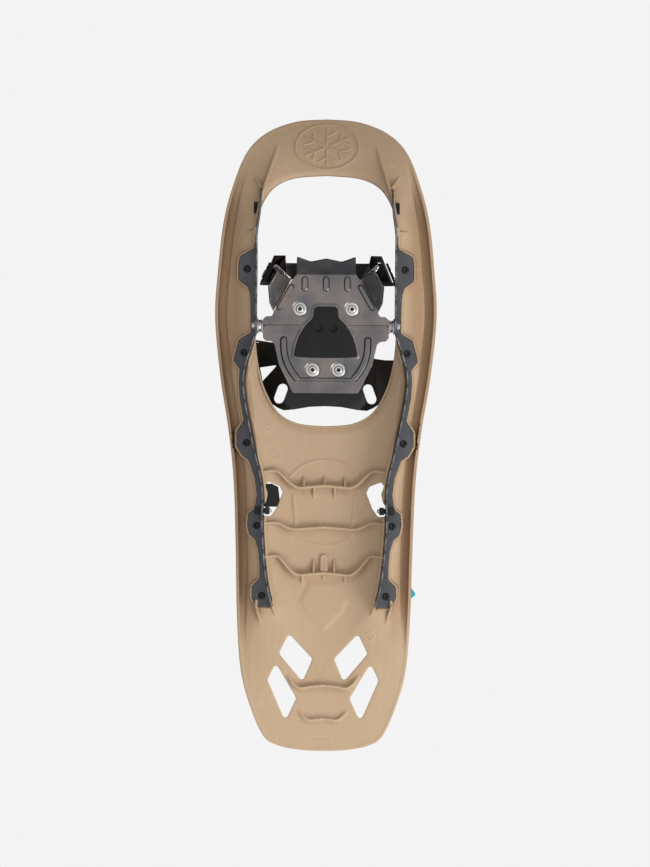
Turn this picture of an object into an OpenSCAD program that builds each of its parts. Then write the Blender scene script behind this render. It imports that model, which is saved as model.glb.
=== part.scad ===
// Moulded snowshoe with toothed steel rails, a pivoting crampon binding and a flip-up heel lift.
// Millimetres. +Y points to the toe and +X to the wearer's right. Z = 0 is the ground under the
// rail teeth, X = 0 the centre line and Y = 0 the middle of the length.

/* [Deck] */
// Overall length, toe to tail
deck_length = 609; // [600:1:618]
// Greatest width, beside the binding
deck_width = 213; // [209:1:217]
// Thickness of the moulded skin
skin = 3; // [2.6:0.1:3.4]
// How far the toe turns up
toe_rise = 60; // [50:1:68]
// How far the tail turns up
tail_rise = 8; // [5:1:11]
// How far the centre panel stands above the rails
panel_rise = 10; // [9:0.5:11]
// How far the outer wings rise towards the rim
wing_rise = 10; // [8:0.5:12]
// Depth of the turned-down rim
rim_depth = 6; // [4:0.5:8]

/* [Rails] */
// Height of the rails, from the tooth tips to the deck
rail_height = 28; // [27:0.5:29]
// Thickness of the rail steel
rail_steel = 2; // [1.6:0.1:2.4]
// Distance from one rail tooth to the next
tooth_pitch = 16; // [14:0.5:20]
// Depth of the notches between the rail teeth
tooth_depth = 6; // [4:0.5:8]
// Radius of the rail rivets' shanks
rivet_r = 2.4; // [2:0.1:2.8]

/* [Binding] */
// Radius of the axle
axle_r = 3.5; // [3.2:0.1:3.8]
// Thickness of the crampon plate
plate_steel = 2; // [1.6:0.1:2.2]
// Slope of the crampon's folded points, in degrees
point_fold = 45; // [40:1:46]
// Thickness of the straps
strap_t = 2.2; // [1.8:0.1:2.2]
// Width of the straps
strap_w = 22; // [18:1:22]
// Radius of the buckle pins
pin_r = 1.6; // [1.4:0.1:1.8]

/* [Heel lift] */
// Radius of the heel lift's wire
wire_r = 2; // [1.8:0.1:2.2]
// Length of the heel lift's legs
lift_leg = 46; // [42:1:48]
// Slope of the stowed heel lift, in degrees
lift_slope = 7; // [6:0.5:9]

/* [Hidden] */
$fn = 48;
fit = 0.05;            // running clearance round a pin or shaft
gap = 0.3;             // clearance between neighbouring soft parts
half_length = deck_length / 2;
half_width = deck_width / 2;
deck_top = 60;         // above every part of the deck that a cut passes through
cut_floor = 18;        // below every part of the deck that a cut passes through
toe_start = 190;       // where the toe begins to turn up
tail_start = -220;     // where the tail begins to turn up
rail_line = 67;        // distance of the straight part of each rail from the centre line
rail_front = 236;
rail_rear = -166;
axle_y = 104;
axle_z = 22;
plate_z = axle_z - axle_r - fit - plate_steel;   // underside of the crampon plate
base_z = axle_z - axle_r - fit;                  // underside of the binding base
base_top = 30;
pad_top = 34;
bend_y = 153;          // fold line of the crampon's front points
wing_x = 68;           // middle of the side wings' upright walls
wing_t = 3.4;          // thickness of the side wings
cradle_x = 60;         // middle of the toe cradle's upright walls
cradle_t = 3;          // thickness of the toe cradle
toe_strap_y = 154.5;   // middle of the toe strap
toe_strap_z = 96;      // middle of the toe strap's flat top
instep_y = 70;         // middle of the instep strap, on the centre line
instep_slant = 0.15;   // how far forward the instep strap runs for each millimetre to the right
instep_z = 130;        // middle of the instep strap's flat top
heel_strap_z = 103;    // middle of the heel strap
lift_y = -73.5;        // pivot of the heel lift
lift_z = 38;
lift_x = 60.5;         // legs of the heel lift
post_x = 55;           // middle of the clip posts that carry the heel lift
buckle_l = 32;         // length of a buckle's base
buckle_t = 2;          // thickness of a buckle's base and cheeks
buckle_w = strap_w + 3;
hinge_h = 8;           // height of a buckle's pin above its strap
hinge_x = 7;           // place of a buckle's pin along its base

// ---- Curves ----

function clamp01(t) = max(0, min(1, t));
function unit(v) = v / norm(v);
function end_point(p, i) = p[max(0, min(len(p) - 1, i))];
function mirrored(p) = [for (i = [len(p) - 1:-1:0]) [-p[i].x, p[i].y]];
function whole(p) = concat(p, mirrored(p));
function swapped(p) = [for (v = p) [v.y, v.x]];

// One span of a curve through b and c, with a and d as their outer neighbours
function span(a, b, c, d, t) =
    0.5 * (2 * b + (c - a) * t + (2 * a - 5 * b + 4 * c - d) * t * t
        + (3 * b - a - 3 * c + d) * t * t * t);

// A smooth curve through the points p, with n steps in each span
function smooth(p, n) = [
    for (i = [0:len(p) - 2], k = [0:n - 1])
        span(end_point(p, i - 1), p[i], p[i + 1], end_point(p, i + 2), k / n),
    p[len(p) - 1]
];

// The corner b of a path a-b-c, rounded with radius r
function corner(a, b, c, r, n) =
    let (
        u = unit(a - b), v = unit(c - b), half = acos(u * v) / 2,
        centre = b + unit(u + v) * r / sin(half),
        p = b + u * r / tan(half) - centre, q = b + v * r / tan(half) - centre,
        start = atan2(p.y, p.x), turn = (atan2(q.y, q.x) - start + 540) % 360 - 180
    )
    [for (k = [0:n]) centre + r * [cos(start + turn * k / n), sin(start + turn * k / n)]];

function rounded(p, r, n = 6) = [
    p[0],
    for (i = [1:len(p) - 2]) each corner(p[i - 1], p[i], p[i + 1], r, n),
    p[len(p) - 1]
];

function normal_at(p, i) =
    let (d = unit(end_point(p, i + 1) - end_point(p, i - 1))) [-d.y, d.x];

// The outline of a strip of thickness t along the path p
function strip(p, t) = concat(
    [for (i = [0:len(p) - 1]) p[i] + normal_at(p, i) * t / 2],
    [for (i = [len(p) - 1:-1:0]) p[i] - normal_at(p, i) * t / 2]
);

// ---- Plan of the deck and rails ----

deck_side = [for (v = smooth([
    [0, 304.5], [30, 302], [58, 291], [77, 272], [90, 240], [99, 204], [104, 158], [106.5, 112],
    [101, 55], [93, 5], [87.5, -45], [85, -110], [83.5, -170], [80, -222], [72, -256],
    [58, -289], [44, -299], [22, -303.5], [0, -304.5]
], 3)) [v.x * half_width / 106.5, v.y * half_length / 304.5]];

opening_side = smooth([
    [0, 249], [30, 246.5], [48, 239], [59, 226], [65.5, 208], [67.1, 185], [67.1, 135], [67.1, 90],
    [63.5, 62], [57, 41], [45, 21], [26, 10.5], [0, 8]
], 4);

rail_path = concat(
    [[63.5, rail_front], [63.5, 222]],
    smooth([[64.5, 211], [67, 192], [rail_line, 176]], 3),
    smooth([[rail_line, 97], [71.5, 84], [77.5, 64], [79, 50], [77.5, 34], [73.5, 12], [68, -15],
        [61.5, -42], [59.5, -62], [60, -80], [59.3, -100], [57, -128], [54, -148], [49.5, rail_rear]], 4)
);

function rail_x(y) = lookup(y, swapped(rail_path));
function deck_x(y) = lookup(y, swapped(deck_side));
function ridge_x(y) = min(rail_x(y), 0.72 * deck_x(y));

// ---- Height of the deck's underside ----

function toe_lift(y) = toe_rise * pow(max(0, y - toe_start) / (half_length - toe_start), 2);
function tail_lift(y) = tail_rise * pow(max(0, tail_start - y) / (half_length + tail_start), 1.5);
// How far the cross-section has turned into a flat sheet, towards the toe and the tail
function eased(t) = let (c = clamp01(t)) c * c * (3 - 2 * c);
function flatness(y) = eased((y - 230) / 55) + 0.85 * eased((-185 - y) / 95);
flat_level = 7;        // height of that flat sheet above the rails

function section(x, y) =
    let (r = ridge_x(y), w = deck_x(y), d = abs(x))
    d < r ? panel_rise * (1 - pow(d / r, 4)) : wing_rise * sin(90 * clamp01((d - r) / max(1, w - r)));

function underside(x, y) =
    let (f = flatness(y))
    rail_height + toe_lift(y) + tail_lift(y) + (1 - f) * section(x, y) + f * flat_level;

// ---- Deck ----

// Places across half the deck: shares of the way to the rail, then of the way on to the rim
panel_steps = [0, 0.5, 0.82, 1];
wing_steps = [0.3, 0.62, 0.9, 0.91, 1];
rim_from = 0.905;
rim_rows = 3;

module deck_skin() {
    rows = [for (i = [1:len(deck_side) - 2]) deck_side[i].y];
    function half_row(y) = concat(
        [for (s = panel_steps) [s * ridge_x(y), 0]],
        [for (s = wing_steps) [ridge_x(y) + s * (deck_x(y) - ridge_x(y)), s]]
    );
    function full_row(y) =
        let (h = half_row(y)) concat([for (i = [len(h) - 1:-1:1]) [-h[i].x, h[i].y]], h);
    n = len(full_row(0));
    last = len(rows) - 1;
    top = [for (y = rows) for (p = full_row(y)) [p.x, y, underside(p.x, y) + skin]];
    under = [for (i = [0:last]) for (p = full_row(rows[i]))
        let (in_rim = p.y > rim_from || i < rim_rows || i > last - rim_rows)
        [p.x, rows[i], underside(p.x, rows[i]) - (in_rim ? rim_depth : 0)]];
    half = len(top);
    quads = concat(
        [for (i = [0:last - 1], j = [0:n - 2])
            [i * n + j, i * n + j + 1, (i + 1) * n + j + 1, (i + 1) * n + j]],
        [for (i = [0:last - 1], j = [0:n - 2])
            [half + i * n + j, half + (i + 1) * n + j, half + (i + 1) * n + j + 1, half + i * n + j + 1]],
        [for (i = [0:last - 1]) [i * n, (i + 1) * n, half + (i + 1) * n, half + i * n]],
        [for (i = [0:last - 1])
            [i * n + n - 1, half + i * n + n - 1, half + (i + 1) * n + n - 1, (i + 1) * n + n - 1]],
        [for (j = [0:n - 2]) [j, half + j, half + j + 1, j + 1]],
        [for (j = [0:n - 2])
            [last * n + j, last * n + j + 1, half + last * n + j + 1, half + last * n + j]]
    );
    triangles = [for (q = quads) each [[q[0], q[1], q[2]], [q[0], q[2], q[3]]]];
    polyhedron(concat(top, under), triangles);
}

// Rivets along one rail, toe to tail
rivets = [[76, 158.5], [78.5, 78], [75.5, -8.5], [65.2, -88], [59.6, -155.3]];
boss_top = 39.3;

// Clips outside the rails' front ends
clip_x = 65.8;
clip_y = 212;
clip_w = 4.4;
clip_l = 11;

module both_sides() {
    children();
    mirror([1, 0, 0]) children();
}

// Both sides, with the right side moved forward and the left side back
module both_ends(shift) {
    translate([0, shift, 0]) children();
    mirror([1, 0, 0]) translate([0, -shift, 0]) children();
}

// The plan of one flange tab, round the rivet c
module tab(c, grow = 0) {
    ends = [for (k = [-19:6.5:20]) [rail_x(c.y + k) - grow, c.y + k]];
    polygon(concat(ends, [c + [6.5, 13], c + [9, 6], c + [9, -10], c + [1, -17]]));
}

// A standing rib between two places under the deck
module fin(a, b, drop_a, drop_b, t = 2.4) {
    hull() {
        for (e = [[a, drop_a], [b, drop_b]])
            translate([e[0].x, e[0].y, underside(e[0].x, e[0].y) - e[1]])
                cylinder(d = t, h = e[1] + skin / 2, $fn = 10);
    }
}

module cross_rib(half_points, drop) {
    p = whole(half_points);
    for (i = [0:len(p) - 2])
        if (norm(p[i + 1] - p[i]) > 1) fin(p[i], p[i + 1], drop, drop, 3);
}

windows = [
    [[54.3, -45.5], [57.2, -49], [54.5, -57], [56, -65], [58.4, -68], [58.4, -78.8], [51.5, -78.8],
        [46, -71], [40.2, -56], [43, -50]],
    [[32.6, -193.3], [41.5, -210.8], [20.4, -236.1], [11.3, -215.7]],
    [[45.1, -221.9], [52.3, -236.3], [36.6, -274.1], [26.5, -253.7]]
];

module deck() color("tan") difference() {
    union() {
        deck_skin();
        both_sides() for (c = rivets) {
            translate([0, 0, rail_height]) linear_extrude(5) tab(c, -1);
            translate([c.x, c.y, rail_height]) cylinder(r = 6.5, h = boss_top - rail_height, $fn = 16);
        }
        cross_rib([[57, -35], [46, -36.5], [30, -47.5], [8, -49.5]], 8);
        cross_rib([[56, -82.5], [46, -83.5], [30, -90.5], [8, -89.5]], 8);
        cross_rib([[51.5, -119.5], [44, -121.5], [28, -133.5], [8, -133]], 8);
        cross_rib([[32, -232], [23, -243], [8, -242.5]], 5);
        cross_rib([[22, -265.5], [14, -274], [6, -274]], 4);
        both_sides() {
            fin([46, 277], [58, 240], 2, 12);
            fin([71, 244], [64.5, 226], 2, 9);
        }
    }
    translate([0, 0, cut_floor]) linear_extrude(80) polygon(whole(opening_side));
    translate([0, 0, cut_floor]) linear_extrude(deck_top) both_sides() for (w = windows) polygon(w);
    both_sides() for (c = rivets)
        translate([c.x, c.y, cut_floor]) cylinder(r = rivet_r + gap, h = deck_top, $fn = 16);
    // Pockets for the rails' front ends and for the clips outside them
    both_sides() {
        translate([62, rail_front - 10, cut_floor]) cube([3, 14, 21]);
        translate([clip_x, clip_y - gap, cut_floor]) cube([clip_w + gap, clip_l + 2 * gap, 21]);
    }
}

// ---- Rails ----

flange_w = 4.8;
clip_pin_z = 22;
clip_pin_r = 2.5;
bushing_r = 6;

// A narrow flange along the rail's outer side, between two places along it
module flange(rear, front) {
    path = [for (y = [rear:6:front]) [rail_x(y), y]];
    polygon(concat(path, [for (i = [len(path) - 1:-1:0]) path[i] + [flange_w, 0]]));
}

module rail() color("dimgray") {
    teeth = floor((200 - rail_rear - 14) / tooth_pitch);
    bottom = [for (i = [0:teeth - 1]) let (y = rail_rear + 14 + i * tooth_pitch)
        each [[y, 0], [y + 0.35 * tooth_pitch, 0], [y + 0.67 * tooth_pitch, tooth_depth]]];
    top = [for (y = [rail_front:-6:toe_start]) [y, rail_height - gap + toe_lift(y)]];
    side = concat(bottom, [[200, 0], [222, 12], [rail_front, rail_height]], top,
        [[rail_rear, rail_height - gap], [rail_rear, rail_height - 10]]);
    difference() {
        union() {
            intersection() {
                linear_extrude(60) polygon(strip(rail_path, rail_steel));
                translate([40, 0, 0]) rotate([90, 0, 90]) linear_extrude(50) polygon(side);
            }
            translate([0, 0, rail_height - rail_steel]) linear_extrude(rail_steel) {
                for (c = rivets) tab(c);
                // It stops on both sides of the pivot
                flange(rail_rear, axle_y - 8);
                flange(axle_y + 8, toe_start - 4);
            }
        }
        for (c = rivets) translate([c.x, c.y, 0]) cylinder(r = rivet_r, h = deck_top);
        translate([50, axle_y, axle_z]) rotate([0, 90, 0]) cylinder(r = bushing_r, h = 30);
        translate([50, lift_y, clip_pin_z]) rotate([0, 90, 0]) cylinder(r = clip_pin_r, h = 20);
    }
}

module rail_right() rail();
module rail_left() mirror([1, 0, 0]) rail();

module rail_rivets() color("black") both_sides() for (c = rivets) translate([c.x, c.y, 0]) {
    z0 = rail_height - rail_steel;
    translate([0, 0, z0]) cylinder(r = rivet_r, h = boss_top - z0);
    translate([0, 0, z0 - 1.8]) cylinder(r1 = 3, r2 = 3.9, h = 1.8);
    translate([0, 0, boss_top]) cylinder(r1 = 4.6, r2 = 3.6, h = 1.6);
}

// Small clips outside the rails' front ends
module rail_front_clips() color("black") both_sides() {
    translate([clip_x, clip_y, 27]) cube([clip_w, clip_l, 9]);
    translate([clip_x + clip_w / 2, clip_y + 2, 24.5]) cube([clip_w / 2, 3, 3]);
    translate([clip_x + clip_w / 2, clip_y + 7, 24.5]) cube([clip_w / 2, 3, 3]);
}

// ---- Pivot ----

module pivot_bushings() color("silver") both_sides() {
    translate([rail_line - rail_steel / 2, axle_y, axle_z]) rotate([0, 90, 0]) difference() {
        union() {
            cylinder(r = bushing_r, h = rail_steel);
            translate([0, 0, -1.4]) cylinder(r = 7.4, h = 1.4);
        }
        translate([0, 0, -3]) cylinder(r = axle_r + fit, h = 10);
    }
}

axle_half = 71.5;

module axle() color("silver")
    translate([-axle_half, axle_y, axle_z]) rotate([0, 90, 0]) cylinder(r = axle_r, h = 2 * axle_half);

module axle_clips() color("silver") both_sides()
    translate([rail_line + rail_steel / 2 + gap, axle_y, axle_z]) rotate([0, 90, 0]) difference() {
        cylinder(r = 5.6, h = 1.2);
        translate([0, 0, -1]) cylinder(r = axle_r, h = 4);
    }

// ---- Crampon ----

screws = [[25, 120.5], [12.5, 62]];
screw_r = 2.5;
washer_h = 1;

lap = 0.8;             // how far a folded point reaches into the plate

// A point folded down from the plate: the fold runs from a to b, with the outline given
// along the fold and away from it
module folded_point(a, b, outline) {
    along = unit(b - a);
    translate([a.x, a.y, plate_z])
        rotate([0, 0, atan2(along.y, along.x)])
            rotate([point_fold, 0, 0])
                linear_extrude(plate_steel) polygon(outline);
}

crampon_side = [
    [0, bend_y], [28.7, bend_y], [32.2, 148.7], [50, 117.5], [51.5, 113.4], [64, 113.4], [64, 89.3],
    [52, 89.3], [49.2, 86], [44.9, 67], [31.2, 39.5], [0, 39.5]
];

module toe_crampon() color("gray") difference() {
    union() {
        translate([0, 0, plate_z]) linear_extrude(plate_steel) polygon(whole(crampon_side));
        folded_point([28.7, bend_y], [-28.7, bend_y],
            [[0, lap], [0, 0], [0.5, -22.5], [13.9, -16.6], [28.7, -20.4], [43.5, -16.6], [56.9, -22.5],
                [57.4, 0], [57.4, lap]]);
        both_sides() folded_point([50, 117.5], [32.2, 148.7],
            [[0.6, lap], [0.6, -1], [5, -9.5], [18.5, -22.3], [41, -22.3], [36, -2], [35, lap]]);
    }
    both_sides() for (s = screws) translate([s.x, s.y, 0]) cylinder(r = screw_r, h = 40);
}

module crampon_pad() color("black") {
    side = smooth([[0, 123.2], [9, 123], [12, 119.5], [13, 112], [20, 104.5], [27, 92], [30.5, 77.5],
        [27, 74], [0, 73]], 3);
    difference() {
        translate([0, 0, plate_z - 2.4]) linear_extrude(2.4) polygon(whole(side));
        both_sides() translate([6.8, 102.2, plate_z - 3]) cylinder(r = 3.6, h = 1.8);
    }
}

module crampon_washers() color("silver") both_sides() for (s = screws)
    translate([s.x, s.y, plate_z - washer_h]) difference() {
        cylinder(r = 6.4, h = washer_h);
        translate([0, 0, -1]) cylinder(r = screw_r, h = 4);
    }

module crampon_screws() color("silver") both_sides() for (s = screws)
    translate([s.x, s.y, plate_z - washer_h]) difference() {
        union() {
            cylinder(r = screw_r, h = 10);
            translate([0, 0, -2.2]) cylinder(r1 = 3.6, r2 = 4.4, h = 2.2);
        }
        translate([0, 0, -3]) cylinder(d = 4.4, h = 2.2, $fn = 6);
    }

// ---- Binding base ----

// An upright strip, drawn in X and Z and running from y0 to y1
module strip_between(path, t, y0, y1)
    translate([0, y1, 0]) rotate([90, 0, 0]) linear_extrude(y1 - y0) polygon(strip(path, t));

wing_path = rounded([[26, 29], [34, 32.5], [46, 43], [wing_x, 56], [wing_x, 115]], 9);

module side_wing(outline) {
    intersection() {
        strip_between(wing_path, wing_t, 20, 92);
        translate([0, 0, 10]) linear_extrude(70) polygon(outline);
    }
}

wall_step = 44;        // where a wing's wall steps up behind the instep strap

// The upper part of a wing, which steps down in front of the heel strap to clear the instep strap
module wing_wall(front, rear) {
    intersection() {
        strip_between(wing_path, wing_t, 20, 92);
        translate([wing_x - 4, 0, 0]) rotate([90, 0, 90]) linear_extrude(8)
            polygon([[rear, 70], [front, 70], [front - 3, 97], [wall_step, 97],
                [wall_step, 115], [rear + 2, 115], [rear, 100]]);
    }
}

// Rear edge of a side wing, from its wall to the plate
wing_rear = [[73, 33], [58, 32], [52, 29.5], [46, 25.5], [40, 23], [33, 23.5], [26, 28]];
base_side = [[0, 146], [27, 146], [31, 138], [44, 114], [46, 92], [40, 66], [37, 50]];

module binding_base() color("black") difference() {
    union() {
        translate([0, 0, base_z]) linear_extrude(base_top - base_z)
            polygon(whole(concat(base_side, [[39, 30], [32, 23.5], [15, 26.5], [0, 27.2]])));
        // Right wing: its long lobe reaches forward beside the crampon
        side_wing(concat([[26, 60], [40, 66], [46, 88], [73, 88]], wing_rear));
        wing_wall(90, 24);
        mirror([1, 0, 0]) {
            side_wing(concat([[26, 60], [40, 72], [73, 72]], wing_rear));
            wing_wall(72, 24);
        }
    }
    // Channel for the axle
    translate([-80, axle_y, axle_z]) rotate([0, 90, 0]) cylinder(r = axle_r + fit, h = 160);
    translate([-80, axle_y - axle_r - fit, 10]) cube([160, 2 * (axle_r + fit), axle_z - 10]);
    both_sides() {
        for (s = screws) translate([s.x, s.y, 0]) cylinder(r = screw_r, h = plate_z + 9 + gap);
        // Oblong holes beside the heel end of the plate
        translate([42.7, 39, 0]) rotate([0, 0, 20])
            linear_extrude(60) hull() for (k = [-1, 1]) translate([0, 5 * k]) circle(r = 4.8, $fn = 24);
    }
    // Gap behind the right wing's lobe
    linear_extrude(62) polygon([[46.5, 66.5], [63, 64], [60.5, 51]]);
    wall_holes(wing_x, instep_y, instep_holes, instep_shift);
    wall_holes(wing_x, 0, heel_holes);
}

module foot_pad() color("dimgray") {
    side = smooth([[0, 140], [20, 139.5], [30, 130], [38, 112], [38, 92], [33, 74], [23.5, 61],
        [21, 50], [16, 45], [0, 44]], 4);
    translate([0, 0, base_top]) linear_extrude(pad_top - base_top) polygon(whole(side));
}

cradle_top = 66.5;     // the strap bends inwards above this
cradle_path = rounded([[0, base_top + cradle_t / 2], [42, base_top + cradle_t / 2],
    [cradle_x, 44], [cradle_x, cradle_top]], 8);

module toe_cradle() color("black") difference() {
    both_sides() intersection() {
        strip_between(cradle_path, cradle_t, 130, 176);
        linear_extrude(80) polygon([[0, 145], [30, 145], [40, 160], [49, 172], [63, 172],
            [63, 147], [48, 145], [33, 138], [24, 141.5], [0, 141.5]]);
    }
    // Strap slots near the wings' outer corners
    both_sides() translate([52, 152, 30]) rotate([0, 0, -8]) linear_extrude(15) square([3.5, 14]);
    wall_holes(cradle_x, toe_strap_y, toe_holes);
}

// ---- Straps ----

toe_end_x = cradle_x + cradle_t / 2 + strap_t / 2;
toe_arch = rounded([[toe_end_x, 50], [toe_end_x, 74], [34, toe_strap_z], [-34, toe_strap_z],
    [-toe_end_x, 74], [-toe_end_x, 50]], 14, 8);
wing_strap_x = wing_x + wing_t / 2 + strap_t / 2;
instep_arch = rounded([[wing_strap_x, 84], [wing_strap_x, 106], [40, instep_z], [-40, instep_z],
    [-wing_strap_x, 106], [-wing_strap_x, 84]], 16, 8);
instep_shift = instep_slant * wing_strap_x;
heel_x = 36;           // half the width of the loop beside the heel
heel_front = 18;       // the loop leaves the wings here, narrows to here, and ends here
heel_waist = -50;
heel_back = -101;
heel_loop = rounded([[wing_strap_x, 44], [wing_strap_x, heel_front], [heel_x, heel_waist],
    [heel_x, heel_back], [-heel_x, heel_back], [-heel_x, heel_waist], [-wing_strap_x, heel_front],
    [-wing_strap_x, 44]], 34, 8);

// Button rivets through a wall at x, with their heads outside the strap
module wall_rivet(x, t, y, z) translate([x, y, z]) rotate([0, 90, 0]) {
    cylinder(r = 2, h = t + strap_t);
    translate([0, 0, t + strap_t]) cylinder(r1 = 4, r2 = 3, h = 1.2);
    translate([0, 0, -1]) cylinder(r = 3.6, h = 1);
}

// Holes for those rivets' shanks, each given in Y from y and in Z
module wall_holes(x, y, holes, shift = 0) both_ends(shift) for (h = holes)
    translate([x - 5, y + h.x, h.y]) rotate([0, 90, 0]) cylinder(r = 2, h = 15);

// A strap along the path in X and Z, centred on y at X = 0 and running forward by slant
module slanted_strap(path, y, slant) {
    outer = [for (i = [0:len(path) - 1]) path[i] + normal_at(path, i) * strap_t / 2];
    inner = [for (i = [0:len(path) - 1]) path[i] - normal_at(path, i) * strap_t / 2];
    function at(p, side) = [p.x, y + side * strap_w / 2 + slant * p.x, p.y];
    points = [for (i = [0:len(path) - 1])
        each [at(outer[i], -1), at(inner[i], -1), at(inner[i], 1), at(outer[i], 1)]];
    last = 4 * (len(path) - 1);
    sides = [for (i = [0:len(path) - 2], k = [0:3])
        let (a = 4 * i + k, b = 4 * i + (k + 1) % 4) [a, b, b + 4, a + 4]];
    polyhedron(points, concat([[3, 2, 1, 0]], sides, [[last, last + 1, last + 2, last + 3]]));
}

toe_holes = [[0, 58]];
instep_holes = [[-5, 92], [5, 92]];
heel_holes = [[35, heel_strap_z - 5], [35, heel_strap_z + 5]];

module toe_strap() color([0.09, 0.09, 0.1]) difference() {
    slanted_strap(toe_arch, toe_strap_y, 0);
    wall_holes(cradle_x, toe_strap_y, toe_holes);
}

module instep_strap() color([0.09, 0.09, 0.1]) difference() {
    slanted_strap(instep_arch, instep_y, instep_slant);
    wall_holes(wing_x, instep_y, instep_holes, instep_shift);
}

// The heel strap's free end leaves the left buckle, peels off the loop and turns flat
// Each place has its tilt and its heading.
tail_end = [-76, -147, 50];
tail_heading = -35;
tail_points = [
    [[-41, -40, heel_strap_z], 0, 16], [[-38.6, -74, 102], 4, 3], [[-46, -104, 92], 25, -22],
    [[-58, -125, 76], 50, -32], [[-69, -138.5, 60], 75, tail_heading], [tail_end, 90, tail_heading]
];

module tail_slab(e)
    translate(e[0]) rotate([0, 0, e[2]]) rotate([0, -e[1], 0]) cube([strap_t, 4, 18], center = true);

module heel_strap() color([0.09, 0.09, 0.1]) {
    difference() {
        translate([0, 0, heel_strap_z - strap_w / 2]) linear_extrude(strap_w)
            polygon(strip(heel_loop, strap_t));
        wall_holes(wing_x, 0, heel_holes);
    }
    for (i = [0:len(tail_points) - 2]) hull() {
        tail_slab(tail_points[i]);
        tail_slab(tail_points[i + 1]);
    }
}

module toe_strap_rivets() color("silver") both_sides() for (h = toe_holes)
    wall_rivet(cradle_x - cradle_t / 2, cradle_t, toe_strap_y + h.x, h.y);
module instep_strap_rivets() color("silver") both_ends(instep_shift) for (h = instep_holes)
    wall_rivet(wing_x - wing_t / 2, wing_t, instep_y + h.x, h.y);
module heel_strap_rivets() color("silver") both_sides() for (h = heel_holes)
    wall_rivet(wing_x - wing_t / 2, wing_t, h.x, h.y);

// A grip moulded round a strap's end, with a finger hole
module pull_tab(l, w) color("deepskyblue") difference() {
    translate([0, -w / 2, 0]) cube([l, w, 3]);
    translate([l - 5, 0, -1]) cylinder(r = 2.2, h = 6);
}

// ---- Buckles ----
// In a buckle's own axes X runs along the strap, Z points away from it, and the strap's face is Z = 0

module at_toe_buckle() translate([6, toe_strap_y, toe_strap_z + strap_t / 2]) children();
module on_instep_strap(x) translate([x, instep_y + instep_slant * x, instep_z + strap_t / 2])
    rotate([0, 0, atan(instep_slant)]) children();
module at_instep_buckle() on_instep_strap(-8) children();
heel_slope = atan2(wing_strap_x - heel_x, heel_front - heel_waist);
module at_heel_buckle()
    translate([-(wing_strap_x + heel_x) / 2, (heel_front + heel_waist) / 2, heel_strap_z])
        rotate([0, 0, 90 + heel_slope]) rotate([-90, 0, 0])
            translate([0, 0, strap_t / 2]) children();

module buckle_frame() color("black") difference() {
    union() {
        translate([-buckle_l / 2, -buckle_w / 2, 0]) cube([buckle_l, buckle_w, buckle_t]);
        for (s = [-1, 1]) translate([hinge_x, s * (buckle_w - buckle_t) / 2, 0]) rotate([90, 0, 0])
            linear_extrude(buckle_t, center = true)
                polygon([[-9, 0], [8, 0], [4, hinge_h + 3], [-4, hinge_h + 3]]);
    }
    translate([hinge_x, 0, hinge_h]) rotate([90, 0, 0]) cylinder(r = pin_r, h = 60, center = true);
}

module buckle_pin() color("silver")
    translate([hinge_x, 0, hinge_h]) rotate([90, 0, 0]) cylinder(r = pin_r, h = buckle_w, center = true);

lever_w = buckle_w - 2 * buckle_t - 2 * gap;

module buckle_lever() color([0.12, 0.12, 0.13]) translate([hinge_x, 0, hinge_h]) difference() {
    rotate([90, 0, 0]) linear_extrude(lever_w, center = true) union() {
        circle(r = 4.6);
        polygon([[0, 4.6], [-12, 4.8], [-27, 2.5], [-30, 0.5], [-28, -0.8], [-12, 1.2], [-4, 0]]);
    }
    rotate([90, 0, 0]) cylinder(r = pin_r + fit, h = 60, center = true);
}

module toe_buckle_frame() at_toe_buckle() buckle_frame();
module toe_buckle_pin() at_toe_buckle() buckle_pin();
module toe_buckle_lever() at_toe_buckle() buckle_lever();
module instep_buckle_frame() at_instep_buckle() buckle_frame();
module instep_buckle_pin() at_instep_buckle() buckle_pin();
module instep_buckle_lever() at_instep_buckle() buckle_lever();
module heel_buckle_frame() at_heel_buckle() buckle_frame();
module heel_buckle_pin() at_heel_buckle() buckle_pin();
module heel_buckle_lever() at_heel_buckle() buckle_lever();

module toe_pull_tab() translate([-14, toe_strap_y, toe_strap_z + strap_t / 2])
    mirror([1, 0, 0]) pull_tab(16, 20);
module instep_pull_tab() on_instep_strap(-27) mirror([1, 0, 0]) pull_tab(12, 20);
module heel_pull_tab() translate(tail_end + [0, 0, -1.5]) rotate([0, 0, tail_heading - 90])
    translate([2, 0, 0]) pull_tab(11, 14);

// ---- Heel lift ----

module lift_wire(a, b) {
    d = b - a;
    translate(a) rotate([0, acos(d.z / norm(d)), atan2(d.y, d.x)]) cylinder(r = wire_r, h = norm(d));
}

knuckle = 0.25;        // how far the ball in each bend stands out from the wire

function lift_at(x, along, up = 0) = [x, lift_y + along * cos(lift_slope) - up * sin(lift_slope),
    lift_z + along * sin(lift_slope) + up * cos(lift_slope)];

module heel_lift_bail() color("silver") {
    both_sides() {
        lift_wire([post_x - 3.5, lift_y, lift_z], lift_at(lift_x, 0));
        lift_wire(lift_at(lift_x, 0), lift_at(lift_x, lift_leg));
        for (k = [0, lift_leg]) translate(lift_at(lift_x, k)) sphere(r = wire_r + knuckle);
    }
    lift_wire(lift_at(-lift_x, lift_leg), lift_at(lift_x, lift_leg));
}

// Along and above the legs, so that the rest and the tab follow their slope
module on_lift(x, along) translate(lift_at(x, along)) rotate([lift_slope, 0, 0]) children();

module heel_lift_rest() color("black") on_lift(0, lift_leg) difference() {
    rotate([90, 0, 90]) linear_extrude(76, center = true)
        polygon([[-6, -1.4], [-7, 1], [-6, 4.4], [5, 4.4], [6.5, 2], [5.5, -1.4], [2.5, -2.2], [-2.5, -2.2]]);
    rotate([0, 90, 0]) cylinder(r = wire_r, h = 90, center = true);
}

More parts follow.
